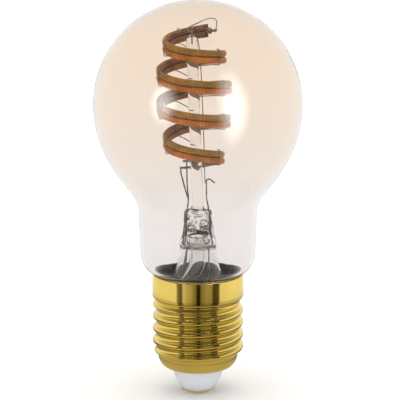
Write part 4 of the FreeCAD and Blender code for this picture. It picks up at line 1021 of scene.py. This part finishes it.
class SetStudio(bpy.types.Operator):
    """Set the pale floor, the soft light and the camera"""

    bl_idname = "bulb.set_studio"
    bl_label = "Set Studio"

    def execute(self, context):
        studio = settings().studio
        self.floor(studio)
        self.room(studio)
        self.softboxes(studio)
        self.tent()
        self.camera(studio)
        context.scene.view_settings.view_transform = "Standard"
        context.scene.view_settings.look = "None"
        return {"FINISHED"}

    @staticmethod
    def stage_piece(name, bm, finish):
        mesh = bpy.data.meshes.new(name)
        bm.to_mesh(mesh)
        bm.free()
        piece = bpy.data.objects.new(name, mesh)
        bpy.context.scene.collection.objects.link(piece)
        mesh.materials.append(finish)
        return piece

    def floor(self, studio):
        made = Finish("pale_floor")
        fine = made.grain(40.0, 3.0)
        tone = tuple(studio.floor)
        shade = made.blend(made.between(fine, 0.3, 0.7), scaled(tone, 0.995), tone)
        finish = made.done(made.principled({"Base Color": shade, "Roughness": 0.9,
                                            "Specular IOR Level": 0.0}))
        bm = bmesh.new()
        bmesh.ops.create_circle(bm, cap_ends=True, segments=96, radius=6.0)
        floor = self.stage_piece("studio_floor", bm, finish)
        floor.visible_glossy = False
        floor.visible_transmission = False

    @staticmethod
    def room(studio):
        """A pale room that darkens softly overhead, and a wide soft lamp. Mirrors see it
        dark on the side that the camera stands on."""
        world = bpy.data.worlds.new("soft_room")
        bpy.context.scene.world = world
        world.use_nodes = True
        tree = world.node_tree

        def ramp(value, low, high, start, end):
            node = tree.nodes.new("ShaderNodeMapRange")
            node.interpolation_type = "SMOOTHSTEP"
            tree.links.new(value, node.inputs["Value"])
            for key, level in (("From Min", low), ("From Max", high),
                               ("To Min", start), ("To Max", end)):
                node.inputs[key].default_value = level
            return node.outputs["Result"]

        spot = tree.nodes.new("ShaderNodeTexCoord")
        parts = tree.nodes.new("ShaderNodeSeparateXYZ")
        tree.links.new(spot.outputs["Object"], parts.inputs["Vector"])
        seen = ramp(parts.outputs["Z"], -0.1, 0.9, studio.horizon, studio.zenith)
        across = ramp(parts.outputs["Y"], -0.75, 0.75, studio.behind_camera, studio.horizon)
        upward = ramp(parts.outputs["Z"], 0.1, 0.95, 1.0, 0.4)
        mirrored = tree.nodes.new("ShaderNodeMath")
        mirrored.operation = "MULTIPLY"
        tree.links.new(across, mirrored.inputs[0])
        tree.links.new(upward, mirrored.inputs[1])
        path = tree.nodes.new("ShaderNodeLightPath")
        level = tree.nodes.new("ShaderNodeMix")
        bounced = tree.nodes.new("ShaderNodeMath")
        bounced.operation = "SUBTRACT"
        bounced.use_clamp = True
        tree.links.new(path.outputs["Is Glossy Ray"], bounced.inputs[0])
        tree.links.new(path.outputs["Is Transmission Ray"], bounced.inputs[1])
        tree.links.new(bounced.outputs["Value"], level.inputs["Factor"])
        tree.links.new(seen, level.inputs["A"])
        tree.links.new(mirrored.outputs["Value"], level.inputs["B"])
        back = tree.nodes["Background"]
        back.inputs["Color"].default_value = (1.0, 1.0, 1.0, 1.0)
        tree.links.new(level.outputs["Result"], back.inputs["Strength"])
        lamp = bpy.data.lights.new("overhead", "SUN")
        lamp.energy = studio.overhead
        lamp.angle = math.radians(80)
        holder = bpy.data.objects.new("overhead", lamp)
        holder.visible_glossy = False
        holder.visible_transmission = False
        bpy.context.scene.collection.objects.link(holder)

    def softboxes(self, studio):
        """Two round soft-edged lamps, in front to the left and to the right."""
        boxes = (
            ("softbox_left", -37.5, 9.0, 0.28, 0.38, 0.8),
            ("softbox_right", 38.5, 6.5, 0.34, 0.78, 0.75),
        )
        centre = Vector((0, 0, CROWN_Z - GLOBE_RADIUS))
        lit = bpy.data.collections.new("lit_by_softboxes")
        lit.objects.link(bpy.data.objects["blown_envelope"])
        for name, azimuth, elevation, width, tall, power in boxes:
            made = Finish(name)
            away = made.add("VectorMath", {0: made.place((2 / width, 2 / tall, 1))},
                            operation="LENGTH").outputs["Value"]
            fade = made.between(away, 0.0, 1.0, 1.0, 0.0)
            strength = made.math("MULTIPLY", fade, studio.softbox * power)
            open_way = made.add("BsdfTransparent").outputs["BSDF"]
            glow = made.add("Emission", {"Strength": strength}).outputs["Emission"]
            finish = made.done(made.add("AddShader", {0: open_way, 1: glow}).outputs["Shader"])
            bm = bmesh.new()
            bmesh.ops.create_circle(bm, cap_ends=True, segments=64, radius=0.5)
            bmesh.ops.scale(bm, vec=(width, tall, 1), verts=bm.verts[:])
            card = self.stage_piece(name, bm, finish)
            facing = Vector((0, 0, 1))
            facing.rotate(Euler((math.radians(90 - elevation), 0, math.radians(azimuth))))
            card.matrix_world = Matrix.Translation(centre + facing * 0.42) \
                @ facing.to_track_quat("Z", "Y").to_matrix().to_4x4()
            self.only_mirrored(card)
            card.light_linking.receiver_collection = lit

    def tent(self):
        """A low band round the cap, and a disc under it, that only bright metal mirrors.
        They shade from pale at the sides to dark in front, with three dark gaps."""
        made = Finish("light_tent")
        spot = made.add("TexCoord").outputs["Object"]
        parts = made.add("SeparateXYZ", {"Vector": spot})
        bearing = made.math("ARCTAN2", parts.outputs["X"], made.math(
            "MULTIPLY", parts.outputs["Y"], -1.0))
        degrees = made.math("MULTIPLY", bearing, 180 / math.pi)
        tones = made.add("ValToRGB", {"Fac": made.math(
            "ADD", made.math("DIVIDE", degrees, 180.0), 0.5)})
        ramp = tones.color_ramp
        ramp.interpolation = "EASE"
        bands = (
            (-90, 0.95), (-51, 1.0), (-47, 0.26), (-37, 0.12), (-34, 0.72), (-20, 0.50),
            (-4.5, 0.22), (-2, 0.02), (4.5, 0.02), (7, 0.24), (21, 0.38), (31, 0.34),
            (35, 0.06), (48, 0.10), (52, 0.90), (90, 1.0))
        while len(ramp.elements) < len(bands):
            ramp.elements.new(0.5)
        for stop, (angle, level) in zip(ramp.elements, bands):
            stop.position = angle / 180 + 0.5
            stop.color = (
                level, level * (0.88 + 0.12 * level), level * (0.5 + 0.5 * level), 1.0)
        low_down = made.between(parts.outputs["Z"], 0.010, 0.019, 0.62, 1.0)
        glow = made.add("Emission", {"Color": tones.outputs["Color"], "Strength": low_down})
        finish = made.done(glow.outputs["Emission"])
        bm = bmesh.new()
        bmesh.ops.create_circle(bm, segments=96, radius=0.06)
        rim = bmesh.ops.extrude_edge_only(bm, edges=bm.edges[:])["geom"]
        bmesh.ops.translate(
            bm, vec=(0, 0, 0.040), verts=[v for v in rim if isinstance(v, bmesh.types.BMVert)])
        self.only_mirrored(self.stage_piece("light_tent", bm, finish))
        made = Finish("tent_floor")
        away = made.add("VectorMath", {0: made.place()}, operation="LENGTH").outputs["Value"]
        dim = made.add("Emission", {
            "Color": (1.0, 0.93, 0.75, 1.0),
            "Strength": made.between(away, 0.022, 0.036, 0.52, 0.20)})
        bm = bmesh.new()
        bmesh.ops.create_circle(
            bm, segments=96, radius=0.06, cap_ends=True,
            matrix=Matrix.Translation((0, 0, 0.0004)))
        self.only_mirrored(
            self.stage_piece("tent_floor", bm, made.done(dim.outputs["Emission"])))

    @staticmethod
    def only_mirrored(piece):
        piece.visible_camera = False
        piece.visible_diffuse = False
        piece.visible_transmission = False
        piece.visible_shadow = False

    @staticmethod
    def camera(studio):
        eye = bpy.data.cameras.new("camera")
        eye.lens = studio.lens
        eye.sensor_width = 36.0
        eye.clip_start = 0.01
        holder = bpy.data.objects.new("camera", eye)
        aim = Vector((0.0006, 0, studio.aim_height))
        tilt = studio.elevation
        back = Vector((0, -math.cos(tilt), math.sin(tilt))) * studio.distance
        holder.location = aim + back
        holder.rotation_euler = (math.pi / 2 - tilt, 0, 0)
        bpy.context.scene.collection.objects.link(holder)
        bpy.context.scene.camera = holder


class BulbPanel(bpy.types.Panel):
    """The bulb's pieces, one button each"""

    bl_idname = "VIEW3D_PT_spiral_bulb"
    bl_label = "Spiral Filament Bulb"
    bl_space_type = "VIEW_3D"
    bl_region_type = "UI"
    bl_category = "Bulb"

    def draw(self, context):
        for step in STEPS:
            self.layout.operator(step.bl_idname)
        for group in GROUPS:
            box = self.layout.box()
            box.label(text=group)
            part = getattr(context.scene.spiral_bulb, group)
            for key in part.__annotations__:
                box.prop(part, key)


class SpiralBulb(bpy.types.PropertyGroup):
    """Every size and colour of the bulb."""

    envelope: PointerProperty(type=EnvelopeSizes)
    cap: PointerProperty(type=CapSizes)
    coil: PointerProperty(type=CoilSizes)
    stem: PointerProperty(type=StemSizes)
    finishes: PointerProperty(type=Finishes)
    studio: PointerProperty(type=Studio)


GROUPS = ("envelope", "cap", "coil", "stem", "finishes", "studio")
STEPS = (BlowEnvelope, RollCap, MouldInsulator, CoatFilament, PressStem, FitWires, FitDriver,
         SetStudio)
CLASSES = (EnvelopeSizes, CapSizes, CoilSizes, StemSizes, Finishes, Studio, SpiralBulb,
           *STEPS, BulbPanel)


def register():
    for part in CLASSES:
        bpy.utils.register_class(part)
    bpy.types.Scene.spiral_bulb = PointerProperty(type=SpiralBulb)


def unregister():
    del bpy.types.Scene.spiral_bulb
    for part in reversed(CLASSES):
        bpy.utils.unregister_class(part)


def main():
    register()
    bpy.context.view_layer.update()
    for step in STEPS:
        family, name = step.bl_idname.split(".")
        getattr(getattr(bpy.ops, family), name)()
    bpy.context.view_layer.update()


if __name__ == "__main__":
    main()
